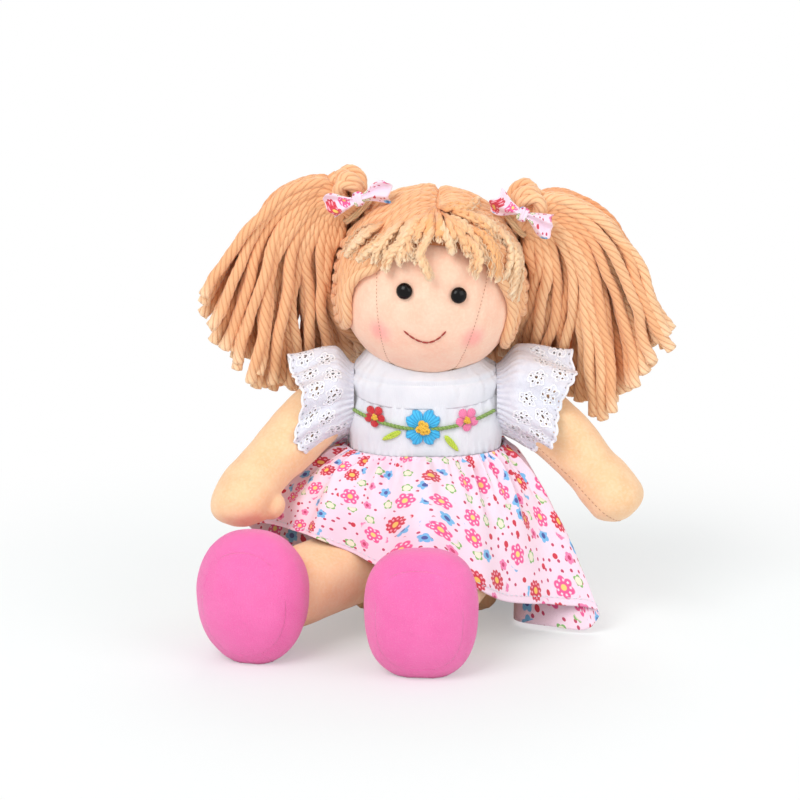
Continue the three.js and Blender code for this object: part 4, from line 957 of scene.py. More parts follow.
# Neck band: a folded strip of cotton gathered by many small pleats
def build_neck_band():
    """A wide gathered band from the shoulders up to the head's underside."""
    count = 480
    turns = np.linspace(0, 1, count, endpoint=False)
    angle = turns * 2 * math.pi
    side = np.sin(angle)**2
    pleat = sum(np.cos(angle * rate + phase) * size for rate, size, phase in (
        (26, 0.22, 0.3), (17, 0.22, 1.1), (41, 0.14, 2.0), (9, 0.3, 4.0)))
    low = torso_skin(turns, mix(0.80, 0.86, side), GAP + CLOTH + 0.5)
    x, y = rounded(33.2, 22.6, turns)
    edge = np.stack([x, y, mix(106.0, 108.5, side)], axis=1)
    x, y = rounded(31.0, 21.2, turns)
    fold = np.stack([x, y, mix(109.6, 112.0, side)], axis=1)
    x, y = rounded(25.0, 18.0, turns)
    under = np.sqrt(np.maximum(1 - ((x - HEAD_CENTRE[0]) / HEAD_HALF[0])**2 - (y / HEAD_HALF[1])**2, 0))
    high = np.stack([x, y, HEAD_CENTRE[2] - HEAD_HALF[2] * under - 0.3], axis=1)
    shares = np.linspace(0, 1, 40)
    grid = np.stack([spline(np.stack(four), shares) for four in zip(low, edge, fold, high)])
    way = unit(low * np.array([1, 1.2, 0]) + np.array([0, 0, 12]))
    push = pleat[:, None] * np.minimum(shares * 4, 1) * (1 - 0.5 * shares)
    push = push + 0.55 * np.exp(-((shares - 0.74) / 0.06)**2)[None, :]
    push = push - 0.35 * np.exp(-((shares - 0.6) / 0.04)**2)[None, :]
    grid = grid + way[:, None, :] * (push + 0.45 * lumps(grid, 7.0, 1.0))[..., None]
    around = np.linspace(0, 210, count + 1)
    down = lengths(grid[0])
    band = sheet_of("gathered_neck_band", grid, closed=True, uv=(around, down))
    face_away(band, from_upright)
    apply_modifier(band, "SOLIDIFY", thickness=SHEET * MM, offset=-1.0)
    finished(band, "white")
    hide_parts("collar")
    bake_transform(band)


# Skirt: a gathered tube of printed cotton
def skirt_point(turn, along):
    """Middle of the skirt's cloth, with deep folds, small gathers and slack creases."""
    turn, along = np.broadcast_arrays(np.asarray(turn, float), np.asarray(along, float))
    edge = spline(np.array(HEM_SHARES) * SKIRT_LENGTH, turn.ravel(), closed=True).reshape(turn.shape + (3,))
    grow = GAP + CLOTH + GAP
    x, y = rounded(31.5 + grow, 25 + grow, turn)
    waist = np.stack([x, y, np.full(turn.shape, WAIST_HEIGHT - 0.4)], axis=-1)
    point = mix(waist, edge, along[..., None])
    angle = turn * 2 * math.pi
    swell = 7 * np.sin(math.pi * along) * (1 - 0.4 * along)
    deep = np.cos(8 * angle + 1.1 * np.sin(2 * angle + 0.6) + 0.5 * along) * mix(0.5, 2.9, along)
    second = (np.cos(15 * angle + 1.9 * np.sin(2 * angle + 1) - 0.8 * along) * mix(0.9, 1.3, along)
              * smooth(along, 0, 0.25))
    gathers = np.cos(74 * angle + 2.0 * np.sin(5 * angle)) * 0.6 * (1 - smooth(along, 0.0, 0.35))
    for count, bend, waves, first, last, grown in ((43, 1.5, 3, 0.05, 0.55, 0.06), (27, 2.5, 2, 0.12, 0.65, 0.08)):
        gathers += (np.cos(count * angle + bend * np.sin(waves * angle)) * 1.3 * (1 - smooth(along, first, last))
                    * smooth(along, 0, grown))
    clear = smooth(edge[..., 2], 2.6, 8)
    free = mix(1, clear, along**4)
    outward = unit(np.stack([edge[..., 0], edge[..., 1], np.zeros(turn.shape)], axis=-1))
    outward = unit(outward + np.array([0, 0, 0.45]))
    return point + outward * (swell + (deep + second + gathers) * free + 1.3)[..., None]


def build_skirt():
    turns = np.linspace(0, 1, 520, endpoint=False)
    shares = np.linspace(0, 1, 84)
    grid = skirt_point(turns[:, None], shares[None, :])
    slack = lumps(grid * np.array([1, 1, 1.3]), 11.0, 6.0).reshape(grid.shape[:2])
    crumple = lumps(grid * np.array([1, 1, 0.7]), 5.0, 15.0).reshape(grid.shape[:2])
    grid += np.array([0, -0.3, 0.7]) * ((1.7 * slack + 0.5 * crumple) * (shares * (1 - shares) * 4))[..., None]
    grid[..., 2] = np.maximum(grid[..., 2], 0.9)
    around = np.linspace(0, HEM_GIRTH, len(turns) + 1)
    down = np.array([lengths(row) for row in grid[::40]]).mean(axis=0)
    skirt = sheet_of("printed_skirt", grid, closed=True, uv=(around, down))
    face_away(skirt, from_upright)
    apply_modifier(skirt, "SOLIDIFY", thickness=SHEET * MM, offset=-1.0, material_offset=1)
    finished(skirt, "print", "reverse")
    belongs(skirt, "torso", "print_cotton", "skirt")
    hem = np.vstack([grid[:, 79], grid[:1, 79]])
    ways = unit(hem * np.array([1, 1, 0.2]))
    line = stitches("skirt_hem_stitches", hem + ways * 0.35, 0.45, 1.7, 0.9)
    dressed(line, "white_thread", "torso", "print_cotton")


# Head: a stuffed ball with two seams down the face
SEAMS = {
    -1: [(-23.5, 22), (-23.6, 14), (-23.4, 9.4), (-22.6, -2.3), (-20.8, -12.8), (-18.7, -21.5), (-15.5, -30),
         (-10, -36)],
    1: [(23.2, 22), (23.3, 16), (23.1, 11.6), (21.0, -1.2), (18.9, -11.5), (15.9, -23.2), (13.3, -31), (8, -36)],
}


def face_point(x, z, lift):
    """Place on the front of the head's ball, seen from the front, raised off it."""
    x, z = np.asarray(x, float), np.asarray(z, float)
    depth = HEAD_HALF[1] * np.sqrt(np.maximum(1 - (x / HEAD_HALF[0])**2 - (z / HEAD_HALF[2])**2, 0))
    point = np.stack([x, -depth, z], axis=-1)
    way = unit(point / HEAD_HALF**2)
    return point + way * lift, way


def front_line(made, route):
    """Line on the front of a finished piece, straight behind or before the points of a route."""
    bpy.context.view_layer.update()
    surface = BVHTree.FromObject(made, bpy.context.evaluated_depsgraph_get())
    line = []
    for point in route:
        hit, way, _, _ = surface.ray_cast(Vector((point[0] * MM, -0.3, point[2] * MM)), Vector((0, 1, 0)))
        if hit is not None:
            line.append(np.array(hit) / MM + np.array(way) * 0.05)
    return np.array(line)


def build_head():
    ball = ball_of(96, 64)
    ball.scale = tuple(HEAD_HALF * MM)
    neck_ball = ball_of(48, 32, location=(-0.0052, 0, -0.0465))
    neck_ball.scale = (0.0122, 0.0122, 0.0122)
    neck = rod_of(48, 0.0112, 0.016, (-0.0048, 0, -0.040))
    for made in (ball, neck_ball, neck):
        settled(made)
    head = joined("stuffed_head", [ball, neck_ball, neck])
    remeshed(head, 0.9, 3)
    points = places(head)
    way = unit(points / HEAD_HALF**2)
    on_ball = points[:, 2] > -37
    cheeks = np.exp(-((np.abs(points[:, 0]) - 24)**2 / 160 + (points[:, 2] + 14)**2 / 200)) * (points[:, 1] < 0)
    push = 0.9 * cheeks + 0.3 * lumps(points, 11.0, 2.0)
    for side, seam in SEAMS.items():
        line = spline([(x, 0, z) for x, z in seam], np.linspace(0, 1, 160))
        seam_x = np.interp(points[:, 2], line[::-1, 2], line[::-1, 0])
        away = np.abs(points[:, 0] - seam_x)
        push -= 0.3 * np.exp(-(away / 0.9)**2) * (points[:, 1] < -4) * (points[:, 2] < 20)
        push += 0.12 * np.exp(-((away - 3) / 1.8)**2) * (points[:, 1] < -4) * (points[:, 2] < 20)
    for side in (-1, 1):
        centre, _ = face_point(side * EYE["x"], EYE["z"], 0)
        push -= 1.1 * np.exp(-(np.linalg.norm(points - centre, axis=1) / 4.6)**2)
    set_places(head, on_head(points + way * (push * on_ball)[:, None]))
    dressed(head, "face", "head", "skin_cloth", "head")

    rows = []
    for side, seam in SEAMS.items():
        route = spline([(x, 0, z) for x, z in seam], np.linspace(0, 1, 120))
        place, _ = face_point(route[:, 0], route[:, 2], 0)
        rows.append(stitches(f"seam{side}", front_line(head, on_head(place)), 0.4, 0.8, 0.8))
    seams = joined("face_seam_stitches", rows)
    dressed(seams, "seam", "head", "skin_cloth")


def build_eyes():
    for side, name in ((-1, "right"), (1, "left")):
        dome = ball_of(64, 32)
        points = places(dome) * MM
        below = points[:, 2] < 0
        points[:, 2] = np.where(below, points[:, 2] * 0.25, points[:, 2] * EYE["bulge"])
        points[:, :2] *= EYE["dome"]
        stem = rod_of(24, 1.0 * MM, 8 * MM, (0, 0, -4.2 * MM))
        settled(stem)
        set_places(dome, points)
        made = joined(f"{name}_safety_eye", [dome, stem])
        smooth_shaded(made)
        centre, way = face_point(side * EYE["x"], EYE["z"], 0.15)
        turn = np.array(Vector((0, 0, 1)).rotation_difference(Vector(way)).to_matrix())
        set_places(made, on_head(places(made) @ turn.T + centre))
        face_out(made)
        dressed(made, "eye", "head", "eye_plastic", f"{name}_eye")
    for name in ("right_eye_washer", "left_eye_washer"):
        finished(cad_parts[name], "washer")


def build_mouth():
    """A smile in backstitch that hangs almost level, although the head leans."""
    shares = np.linspace(-1, 1, 60)
    turn = math.radians(11.5)
    x, z = shares * 9.7, mix(-3.2, 3.2, np.abs(shares)**1.9)
    line, _ = face_point(x * math.cos(turn) - z * math.sin(turn) - 0.1,
                         x * math.sin(turn) + z * math.cos(turn) - 14.4, 0.35)
    mouth = stitches("stitched_mouth", on_head(line), 0.85, 3.3, -0.25)
    dressed(mouth, "mouth", "head", "mouth_thread", "mouth")


# Hair: yarns laid side by side from the parting to the ties, over a bed of the same colour
def look(turn, opening):
    """Way out of the head for a turn from its top and an opening from straight ahead, in degrees."""
    t, o = math.radians(turn), math.radians(opening)
    return np.array([math.sin(o) * math.sin(t), -math.cos(o), math.sin(o) * math.cos(t)])


def midline(angle):
    a = math.radians(angle)
    return np.array([0.03, -math.cos(a), math.sin(a)])


TIE_WAY = np.array([math.sin(TIE_ANGLE), 0, math.cos(TIE_ANGLE)])
# The parting's ends at the crown and the nape, as turns over the head from straight ahead, in degrees
PARTING = (97, 233)
# The edge of the hair round each half of the face, as turns from the head's top and openings from straight ahead
FACE_EDGE = {side: [look(*spot) for spot in spots] for side, spots in {
    -1: [(1.5, 56), (24, 50), (46, 45), (65, 43), (76, 51), (86, 57), (96, 60.5), (105, 63), (113, 68), (117, 82),
         (112, 100), (96, 116), (76, 113), (58, 102)],
    1: [(1.5, 56), (24, 50), (46, 47), (63, 47), (79, 52), (89, 57.5), (99, 62.5), (108, 65.5), (117, 70), (122, 84),
        (115, 101), (97, 116), (76, 113), (58, 102)],
}.items()}
LOW_BACK = [midline(PARTING[1])] + [unit(np.array(way)) for way in (
    (0.28, 0.68, -0.72), (0.55, 0.66, -0.55), (0.76, 0.6, -0.3), (0.88, 0.47, -0.02), (0.9, 0.35, 0.28),
    (0.84, 0.2, 0.52))]


def arc(start, end, count):
    shares = np.linspace(0, 1, count)[:, None]
    return unit(mix(start[None, :], end[None, :], shares))


def hair_route(side, ways, lift, rng):
    """A yarn's line over the head, up to the tie's edge, tucked in at its start and raised at the tie."""
    ways = unit(spline(ways, np.linspace(0, 1, 90)))
    near = np.arccos(np.clip(ways @ TIE_WAY, -1, 1)) * HAIR_REACH < TIE_CLEARANCE
    keep = ways[: max(int(np.argmax(near)), 20)] if near.any() else ways
    share = np.linspace(0, 1, len(keep))
    wobble = 0.35 * np.sin(share * rng.uniform(8, 16) + rng.uniform(0, 6))
    raised = lift + wobble - 2.4 * (1 - smooth(share, 0, 0.06)) + 1.6 * smooth(share, 0.9, 1)
    line = keep * (HEAD_HALF + raised[:, None])
    line[:, 0] *= side
    return line


def build_hair():
    routes, tints = [], []
    for side in (-1, 1):
        rng = np.random.default_rng(20 + side)
        edge = np.array(FACE_EDGE[side])
        crown = arc(midline(PARTING[0]), TIE_WAY, len(edge))
        rows = [np.vstack([unit(mix(edge, crown, k / 14)), TIE_WAY]) for k in range(14)]
        low = np.array(LOW_BACK + [TIE_WAY])
        high = arc(midline(PARTING[0]), TIE_WAY, len(low))
        for k in range(32):
            share = k / 31
            ways = unit(mix(high, low, share**0.9))
            ways[0] = midline(mix(*PARTING, share))
            rows.append(ways)
        for ways in rows:
            routes.append(hair_route(side, ways, 2.55 + 0.25 * rng.standard_normal(), rng))
            tints.append(rng.uniform(0.05, 0.75))
    yarns = strands("laid_yarns", [on_head(route) for route in routes], YARN, step=1.3, tints=tints)

    turns = np.linspace(0, 1, 120, endpoint=False)
    opens = np.linspace(0, 1, 40)
    down = (1 - np.cos(turns * 2 * math.pi)) / 2
    edge = spline([(0, 36, 0), (0.5, 62, 0), (0.68, 100, 0), (1, 122, 0)], np.linspace(0, 1, 200))
    first = np.radians(np.interp(down, edge[:, 0], edge[:, 1]))
    opening = mix(first[:, None], math.radians(179.4), opens[None, :])
    angle = (turns * 2 * math.pi)[:, None]
    ways = np.stack([np.sin(opening) * np.sin(angle), -np.cos(opening), np.sin(opening) * np.cos(angle)], axis=-1)
    bed = sheet_of("hair_bed", on_head((ways * (HEAD_HALF + 1.4)).reshape(-1, 3)).reshape(ways.shape), closed=True,
                   uv=(np.linspace(0, 240, 121), np.linspace(0, 1 / MM, 40)))
    face_out(bed)
    layer = bed.data.attributes.new("tint", "FLOAT", "POINT")
    layer.data.foreach_set("value", np.full(len(bed.data.vertices), 1.0, np.float32))
    finished(yarns, "yarn")
    finished(bed, "under")
    hair = joined("yarn_hair_cap", [yarns, bed])
    belongs(hair, "head", "yarn", "hair_cap")


# Fringe tufts from root to tip, as places across and up on the upright head, and how orange each one is
FRINGE = [
    (0.3, [(-1.5, 37.2), (-2.7, 29.2), (-5.5, 22.5), (-8.8, 16.7)]),
    (0.1, [(-1.1, 37.2), (2.2, 31.8), (5.5, 27.1), (7.9, 22)]),
    (0.2, [(-6.9, 35.7), (-13.1, 29.2), (-15.1, 22.2), (-15.4, 15.1)]),
    (0.1, [(-11.8, 33.4), (-20.1, 26.3), (-23.8, 20), (-25, 14.2)]),
    (0.3, [(-14.5, 30.1), (-23.2, 23.9), (-28.7, 18.1), (-32.1, 13.3)]),
    (0.2, [(-5.4, 27.4), (-6.2, 20.2), (-3.7, 14.9), (-0.8, 10.2)]),
    (0.9, [(0.1, 37.3), (6, 38.9), (11.9, 38.3), (17.5, 39.5)]),
    (0.6, [(5.1, 34.3), (10, 29.8), (12.8, 25), (15.2, 19.9)]),
    (1.0, [(10.6, 32.4), (19.3, 29.4), (25.3, 22.4), (27.1, 10.1)]),
    (0.5, [(9.1, 30.7), (16.2, 25), (19.1, 19.6), (17.5, 12)]),
    (0.0, [(23.4, 33.3), (30.8, 26.2), (33.9, 18.4), (32.4, 8.2)]),
    (0.2, [(10.4, 35.6), (18.8, 34.9), (25, 31.3), (31, 25.4)]),
    (0.2, [(-9.5, 30.4), (-15.6, 23.6), (-19.4, 18.4), (-20.6, 11.9)]),
    (0.1, [(-19.6, 31.1), (-29.3, 25.4), (-34.8, 18.7), (-36.9, 13.4)]),
    (0.4, [(-3.1, 36), (-9.6, 32.6), (-13.3, 25.5), (-11, 17.3)]),
    (0.3, [(1, 36.3), (7.5, 33.8), (15, 30.2), (22.6, 18.8)]),
    (0.1, [(29.4, 29.1), (35.1, 21.8), (36.5, 13.2), (35.2, 1.1)]), (0.7, [(3, 37), (11, 36.8), (19, 33.5), (25, 27)]),
    (0.8, [(-2.2, 36.5), (-3.2, 32.5), (-3.8, 28.8), (-3.6, 25)]),
    (0.9, [(0.6, 36.8), (1.2, 32.8), (1.6, 29), (1.4, 25.4)]), (0.8, [(3.4, 36.2), (5.4, 32.6), (6.9, 29.2), (8, 26)]),
    (0.7, [(-3.4, 36.4), (-5.6, 32.4), (-7.6, 28.4), (-8.6, 24.6)]),
]


def before_head(x, z, grow):
    """Place on the front of the upright head's ball, grown all round."""
    half = HEAD_HALF[:, None] + grow
    depth = half[1] * np.sqrt(np.maximum(1 - (x / half[0])**2 - (z / half[2])**2, 0.01))
    return np.stack([x, -depth, z], axis=-1)


def build_fringe():
    """Combed out, still crimped locks that fall over the forehead, each a loose bundle of thin ones."""
    rng = np.random.default_rng(9)
    routes, sizes, tints, wisps = [], [], [], []
    for orange, spots in FRINGE:
        path = spline([(x, 0, z) for x, z in spots], np.linspace(0, 1, 70))
        share = np.linspace(0, 1, 70)
        run = lengths(path)[-1]
        way = unit(np.gradient(path, axis=0))
        beside = np.stack([way[:, 2], np.zeros(70), -way[:, 0]], axis=1)
        phase = rng.uniform(0, 6.3)
        for copy in range(8):
            turn = copy * SPIRAL
            out = 0.0 if copy == 0 else 1.25 * math.sqrt(copy / 7)
            length = 1.0 if copy == 0 else rng.uniform(0.84, 1.05)
            crimp = np.sin(share * run * length / rng.uniform(0.5, 0.62) + phase + rng.uniform(-0.9, 0.9))
            crimp = crimp * rng.uniform(0.25, 0.45)
            sway = np.sin(share * rng.uniform(3, 6) + rng.uniform(0, 6.3)) * rng.uniform(0.1, 0.5)
            spread = mix(0.8, 1.45, share**2)
            off = out * math.cos(turn) * spread * smooth(share, 0, 0.4) + (crimp + sway) * smooth(share, 0.08, 0.4)
            moved = spots[0] + (path[:, [0, 2]] - spots[0]) * length + beside[:, [0, 2]] * off[:, None]
            rise = (mix(2.6, 6.6, smooth(share, 0, 0.25)) - 1.8 * smooth(share, 0.45, 1) + out * math.sin(turn) * 0.8
                    + 0.3 * np.cos(share * run / 0.56 + phase) * smooth(share, 0.1, 0.4))
            routes.append(on_head(before_head(moved[:, 0], moved[:, 1], rise)))
            sizes.append(rng.uniform(0.95, 1.3))
            tints.append(np.clip(orange + rng.uniform(-0.2, 0.25), 0, 1))
        for _ in range(14):
            length = rng.uniform(0.8, 1.03)
            off = (rng.uniform(-2.4, 2.4) * smooth(share, 0, 0.5)
                   + np.sin(share * run / rng.uniform(0.5, 0.8) + phase) * 0.5)
            moved = spots[0] + (path[:, [0, 2]] - spots[0]) * length + beside[:, [0, 2]] * off[:, None]
            rise = mix(3.5, 5.6, smooth(share, 0, 0.3)) + rng.uniform(-1, 2.0) * share
            wisps.append(on_head(before_head(moved[:, 0], moved[:, 1], rise)))

    def tuft(share, length):
        body = mix(0.6, 1.0, smooth(share, 0.0, 0.4)) * (1 + 0.1 * np.sin(share * length / 0.8))
        tip = np.sqrt(np.clip(1 - (1 - np.minimum((1 - share) * length, 1))**2, 0.1, 1))
        return body * mix(1, 0.72, smooth(share, 0.8, 1.0)) * tip
    locks = strands("locks", routes, sizes, step=0.8, sides=9, plies=3, pitch=12, ends=tuft, tints=tints, fade=True)
    fuzz = strands("fuzz", wisps, 0.15, step=1.2, sides=4, plies=2, groove=0, tints=[0.0] * len(wisps), fade=True)
    fringe = joined("combed_fringe", [locks, fuzz])
    dressed(fringe, "roving", "head", "yarn", "fringe")


# Bunches: separate plied yarns that rise from the tie, turn over and hang

# Where each bunch's yarns end: the turn down from level and the reach from the tie
TIPS = {
    "right": [(39, 78), (48, 83), (56, 87), (63, 91), (69, 91), (74, 91), (79, 86), (85, 80), (92, 76), (99, 74),
              (107, 70)],
    "left": [(34, 81), (41, 90), (49, 89), (56, 94), (62, 96), (67, 92), (73, 84), (80, 76), (88, 72), (97, 70),
             (106, 68)],
}
# The outermost yarn's turn down from level, at shares of its length
OUTER_TURN = [(0, -50), (0.12, -33), (0.25, -13), (0.37, 2), (0.48, 14), (0.625, 24.5), (0.76, 31.5), (0.89, 36.3),
              (1, 39)]
BOW_REACH = 43.9 + 8.5


def clear_of_head(points, gap):
    """Moves upright head places that lie in the hair out to its surface, with a gap."""
    half = HEAD_HALF + HAIR_THICKNESS + gap
    inside = np.linalg.norm(points / half, axis=-1)
    return points / np.minimum(inside, 1)[..., None]


def tie_frame(side):
    """Ways out through a bunch's tie, and beside it."""
    way = TIE_WAY * np.array([side, 1, 1])
    return way, np.array([way[2], 0, -way[0]])


def fan_point(side, name, across, along, layer):
    """Place in the fan of a bunch: across it, along its yarns, and in one of its layers."""
    tie = TIE_WAY * (TIE_RADIUS + NECK_LENGTH / 2)
    tips = np.array(TIPS[name], float)
    place = np.clip(across, 0, 1) * (len(tips) - 1)
    end = np.interp(place, np.arange(len(tips)), tips[:, 0])
    reach = np.interp(place, np.arange(len(tips)), tips[:, 1])
    outer = np.array(OUTER_TURN)
    rest = (39 - np.interp(along, outer[:, 0], outer[:, 1])) / 89
    turn = np.radians(end - mix(89, 34, np.clip(across, 0, 1)) * rest)
    length = mix(NECK_RADIUS / 2, reach, along)
    hidden = smooth(across, 0.35, 0.7)
    half = mix(mix(NECK_RADIUS, 12.5, smooth(along, 0, 0.35)), 9.5, smooth(along, 0.5, 1)) - 2.0
    back = 4 + 2 * across + 13 * hidden * along**1.6 + 9 * smooth(across, 0.66, 0.9) * along
    return np.stack([side * (tie[0] + length * np.cos(turn)), back + layer * half * (1 - 0.45 * hidden * along),
                     tie[2] - length * np.sin(turn)], axis=-1)


def bunch_routes(side, name, seed):
    rng = np.random.default_rng(seed)
    way, beside = tie_frame(side)
    routes = []
    rows = ((-1.0, 13, 0.0), (-0.5, 13, 0.5), (0.0, 13, 0.1), (0.5, 12, 0.5), (1.0, 12, 0.2))
    for layer, count, shift in rows:
        for k in range(count):
            across = np.clip((k + 0.25 + 0.5 * shift) / (count - 0.5) + rng.uniform(-0.02, 0.02), 0.0, 1.0)
            along = np.linspace(0.06, rng.uniform(0.92, 1.03), 30)
            drift = rng.uniform(-0.04, 0.04)
            points = fan_point(side, name, across + drift * along, along, layer + 0.12 * rng.standard_normal() * along)
            wave = np.stack([np.sin(along * rng.uniform(5, 10) + rng.uniform(0, 6.3)) for _ in range(3)], axis=1)
            kink = np.stack([np.sin(along * rng.uniform(16, 26) + rng.uniform(0, 6.3)) for _ in range(3)], axis=1)
            points = points + (wave * np.array([1.4, 1.3, 1.4]) + kink * 0.35) * smooth(along, 0.08, 0.5)[:, None]
            points = mix(points, clear_of_head(points, 1.6 + rng.uniform(0, 1.2)), smooth(along, 0.1, 0.35)[:, None])
            spot = (across - 0.5) * 8.5
            lay = layer * 4.2
            base = way * (TIE_RADIUS - 2.4) + beside * spot + np.array([0, lay, 0])
            tied = way * (TIE_RADIUS + 2.5) + beside * spot * 0.9 + np.array([0, lay, 0])
            routes.append(np.vstack([base, tied, points[2:]]))
    for k in range(6):
        low = mix(32.0, 23.5 if side < 0 else 27.0, k / 5)
        back = mix(24.0, 30.0, k / 5)
        spots = [(33, back * 0.6, 31), (38, back * 0.9, 16), (40, back, 0), (38, back + 1, -17),
                 (mix(38, low, 0.6), back + 1, -30), (low, back + 1, -42 + rng.uniform(-1.5, 1.5))]
        line = spline(np.array(spots, float) * np.array([side, 1, 1]), np.linspace(0, 1, 26))
        line = mix(line, clear_of_head(line, 1.8), smooth(np.linspace(0, 1, 26), 0, 0.15)[:, None])
        routes.append(np.vstack([way * (TIE_RADIUS - 2.4) + beside * 4, way * (TIE_RADIUS + 2) + beside * 4, line]))
    return routes, rng


def build_bunch(side, name):
    routes, rng = bunch_routes(side, name, 40 + side)
    way, beside = tie_frame(side)
    top = TIE_RADIUS + NECK_LENGTH / 2
    rise_turn = math.radians(60 if side < 0 else 68)
    rise_way = np.array([side * math.cos(rise_turn), 0, math.sin(rise_turn)])
    rise_side = np.array([rise_way[2], 0, -rise_way[0]])
    loops = []
    for k in range(14):
        lean = (k / 13 - 0.5) * 13
        rise = rng.uniform(8.5, 13.0)
        spread = rng.uniform(2.6, 5.6)
        skew = rng.uniform(-3.5, 3.5)
        middle = np.array([0, lean * 1.1, 0])
        stand = way * (top - 1) + rise_side * rng.uniform(-1.5, 1.5)
        loops.append(np.array([
            way * (top - 7) + beside * -2.5 + middle * 0.3,
            stand + rise_side * (-spread * 0.8) + middle * 0.7,
            stand + rise_way * rise * 0.6 + rise_side * (-spread + skew * 0.5) + middle,
            stand + rise_way * rise + rise_side * skew + middle * 1.1,
            stand + rise_way * rise * 0.6 + rise_side * (spread + skew * 0.5) + middle,
            stand + rise_side * (spread * 0.8) + middle * 0.7,
            way * (top - 7) + beside * 2.5 + middle * 0.3,
        ]))
    lines = [spline(route, np.linspace(0, 1, 160)) for route in routes + loops]
    tints = rng.uniform(0.0, 0.6, len(lines))
    # Yarns in the middle and back layers and those behind the head get a deeper tint: painted shade.
    behind = slice(26, len(routes))
    tints[behind] = np.minimum(tints[behind] + 0.4, 1.0)
    sizes = rng.uniform(2.3, 2.65, len(lines))
    yarns = strands(f"{name}_yarn_bunch", [on_head(line) for line in lines], sizes, step=1.4, tints=tints, fade=True,
                    ends=lambda share, length: 1 + 0.1 * smooth(share, 0.95, 1.0))
    dressed(yarns, "yarn", f"{name}_bunch", "yarn", f"{name}_bunch")

    ring_line = [way * (TIE_RADIUS - 1.2) + beside * 7.9 * math.cos(a) + np.array([0, 7.9 * math.sin(a), 0])
                 for a in np.linspace(0, 2 * math.pi, 61)]
    turns = [np.array(ring_line) + way * k * 1.1 for k in (-0.5, 0.5)]
    band = strands(f"{name}_elastic_band", [on_head(turn) for turn in turns], 0.75, step=0.8, sides=8, plies=2,
                   groove=0.1)
    dressed(band, "elastic", f"{name}_bunch", "hair_elastic", f"{name}_hair_band")
    build_bow(side, name, way)


def build_bow(side, name, way):
    """A flat ribbon bow of doubled print: two lobes that fan out in sharp pleats, and a wrapped knot."""
    half, tall, thick = 13.5, 11.0, 2.6
    turns = np.linspace(0, 1, 96, endpoint=False)
    shares = np.linspace(0, 1, 97)
    across = mix(-1, 1, shares)[:, None]
    angle = (turns * 2 * math.pi)[None, :]
    spread = mix(0.27, 1.0, smooth(np.abs(across), 0.05, 0.95))
    up = np.sign(np.cos(angle)) * np.abs(np.cos(angle))**0.6
    close = np.sqrt(np.clip(1 - np.abs(across)**24, 0.01, 1))
    height = tall / 2 * spread * up + 0.9 * np.sin(across * 5 + side) * np.abs(across)
    pleat = np.sin(up * (4.6 + 0.8 * np.sign(across)) + 1.1 * side * np.sign(across) + across)
    pleat = pleat * mix(0.5, 2.3, np.abs(across))
    depth = thick / 2 * mix(1.5, 1.0, np.abs(across)) * np.sin(angle) * close + pleat
    reach = across * half * (1 + 0.1 * np.cos(up * 3.0 + side)) + 0.5 * np.sin(up * 6) * np.abs(across)
    grid = np.stack([reach + 0 * angle, depth, height], axis=-1)
    lean = side * TIE_ANGLE * 0.45
    tilt = np.array(Matrix.Rotation(lean, 3, "Y"))
    place = way * BOW_REACH
    nearer = 4.6 if side < 0 else 1.8
    front = np.array([place[0] - side * nearer, -(NECK_RADIUS + GAP + 1.2 + GAP + 3.5), place[2] + nearer * 0.4])

    def put(points):
        return on_head(points.reshape(-1, 3) @ tilt.T + front).reshape(points.shape)
    lobes = rings_with_uv(f"{name}_print_bow", put(grid), around=44, along=54)
    dressed(lobes, "print", f"{name}_bunch", "print_cotton", f"{name}_bow")
    girth = np.sqrt(np.clip(1 - across**4, 0.002, 1))
    ball = np.stack([np.cos(angle) * girth, np.sin(angle) * girth, across + 0 * angle], axis=-1)
    ball = ball * np.array([2.3, 2.4, 2.9]) * (1 + 0.1 * np.cos(angle * 7))[..., None]
    knot = rings_with_uv(f"{name}_print_bow_knot", put(ball + np.array([0, -0.6, 0])), around=20, along=14)
    dressed(knot, "print", f"{name}_bunch", "print_cotton", f"{name}_bow_knot")


def rings_with_uv(name, grid, around, along):
    """Closed skin of rings whose cloth places run round and along it, in millimetres."""
    rings, steps = grid.shape[:2]
    turned = np.swapaxes(grid, 0, 1)
    uv = (np.linspace(0, around, steps + 1), np.linspace(0, along, rings))
    return filled(sheet_of(name, turned, closed=True, uv=uv))


# Arms: a stuffed limb with a mitten hand and a thumb
def limb_rings(line, radius, flatten, steps=40):
    way, beside, across = side_frames(line)
    angle = np.linspace(0, 2 * math.pi, steps, endpoint=False)
    return (line[:, None, :] + (radius[:, None] * np.cos(angle))[..., None] * beside[:, None, :]
            + ((radius * flatten)[:, None] * np.sin(angle))[..., None] * across[:, None, :])


def round_tip(left, radius):
    return np.sqrt(np.clip(1 - (1 - np.minimum(left / radius, 1))**2, 0.003, 1))


def arm_line(name):
    return np.array(ARM_SHARES[name]) * ARM_LENGTH + SHOULDER * np.array([-1 if name == "right" else 1, 1, 1])


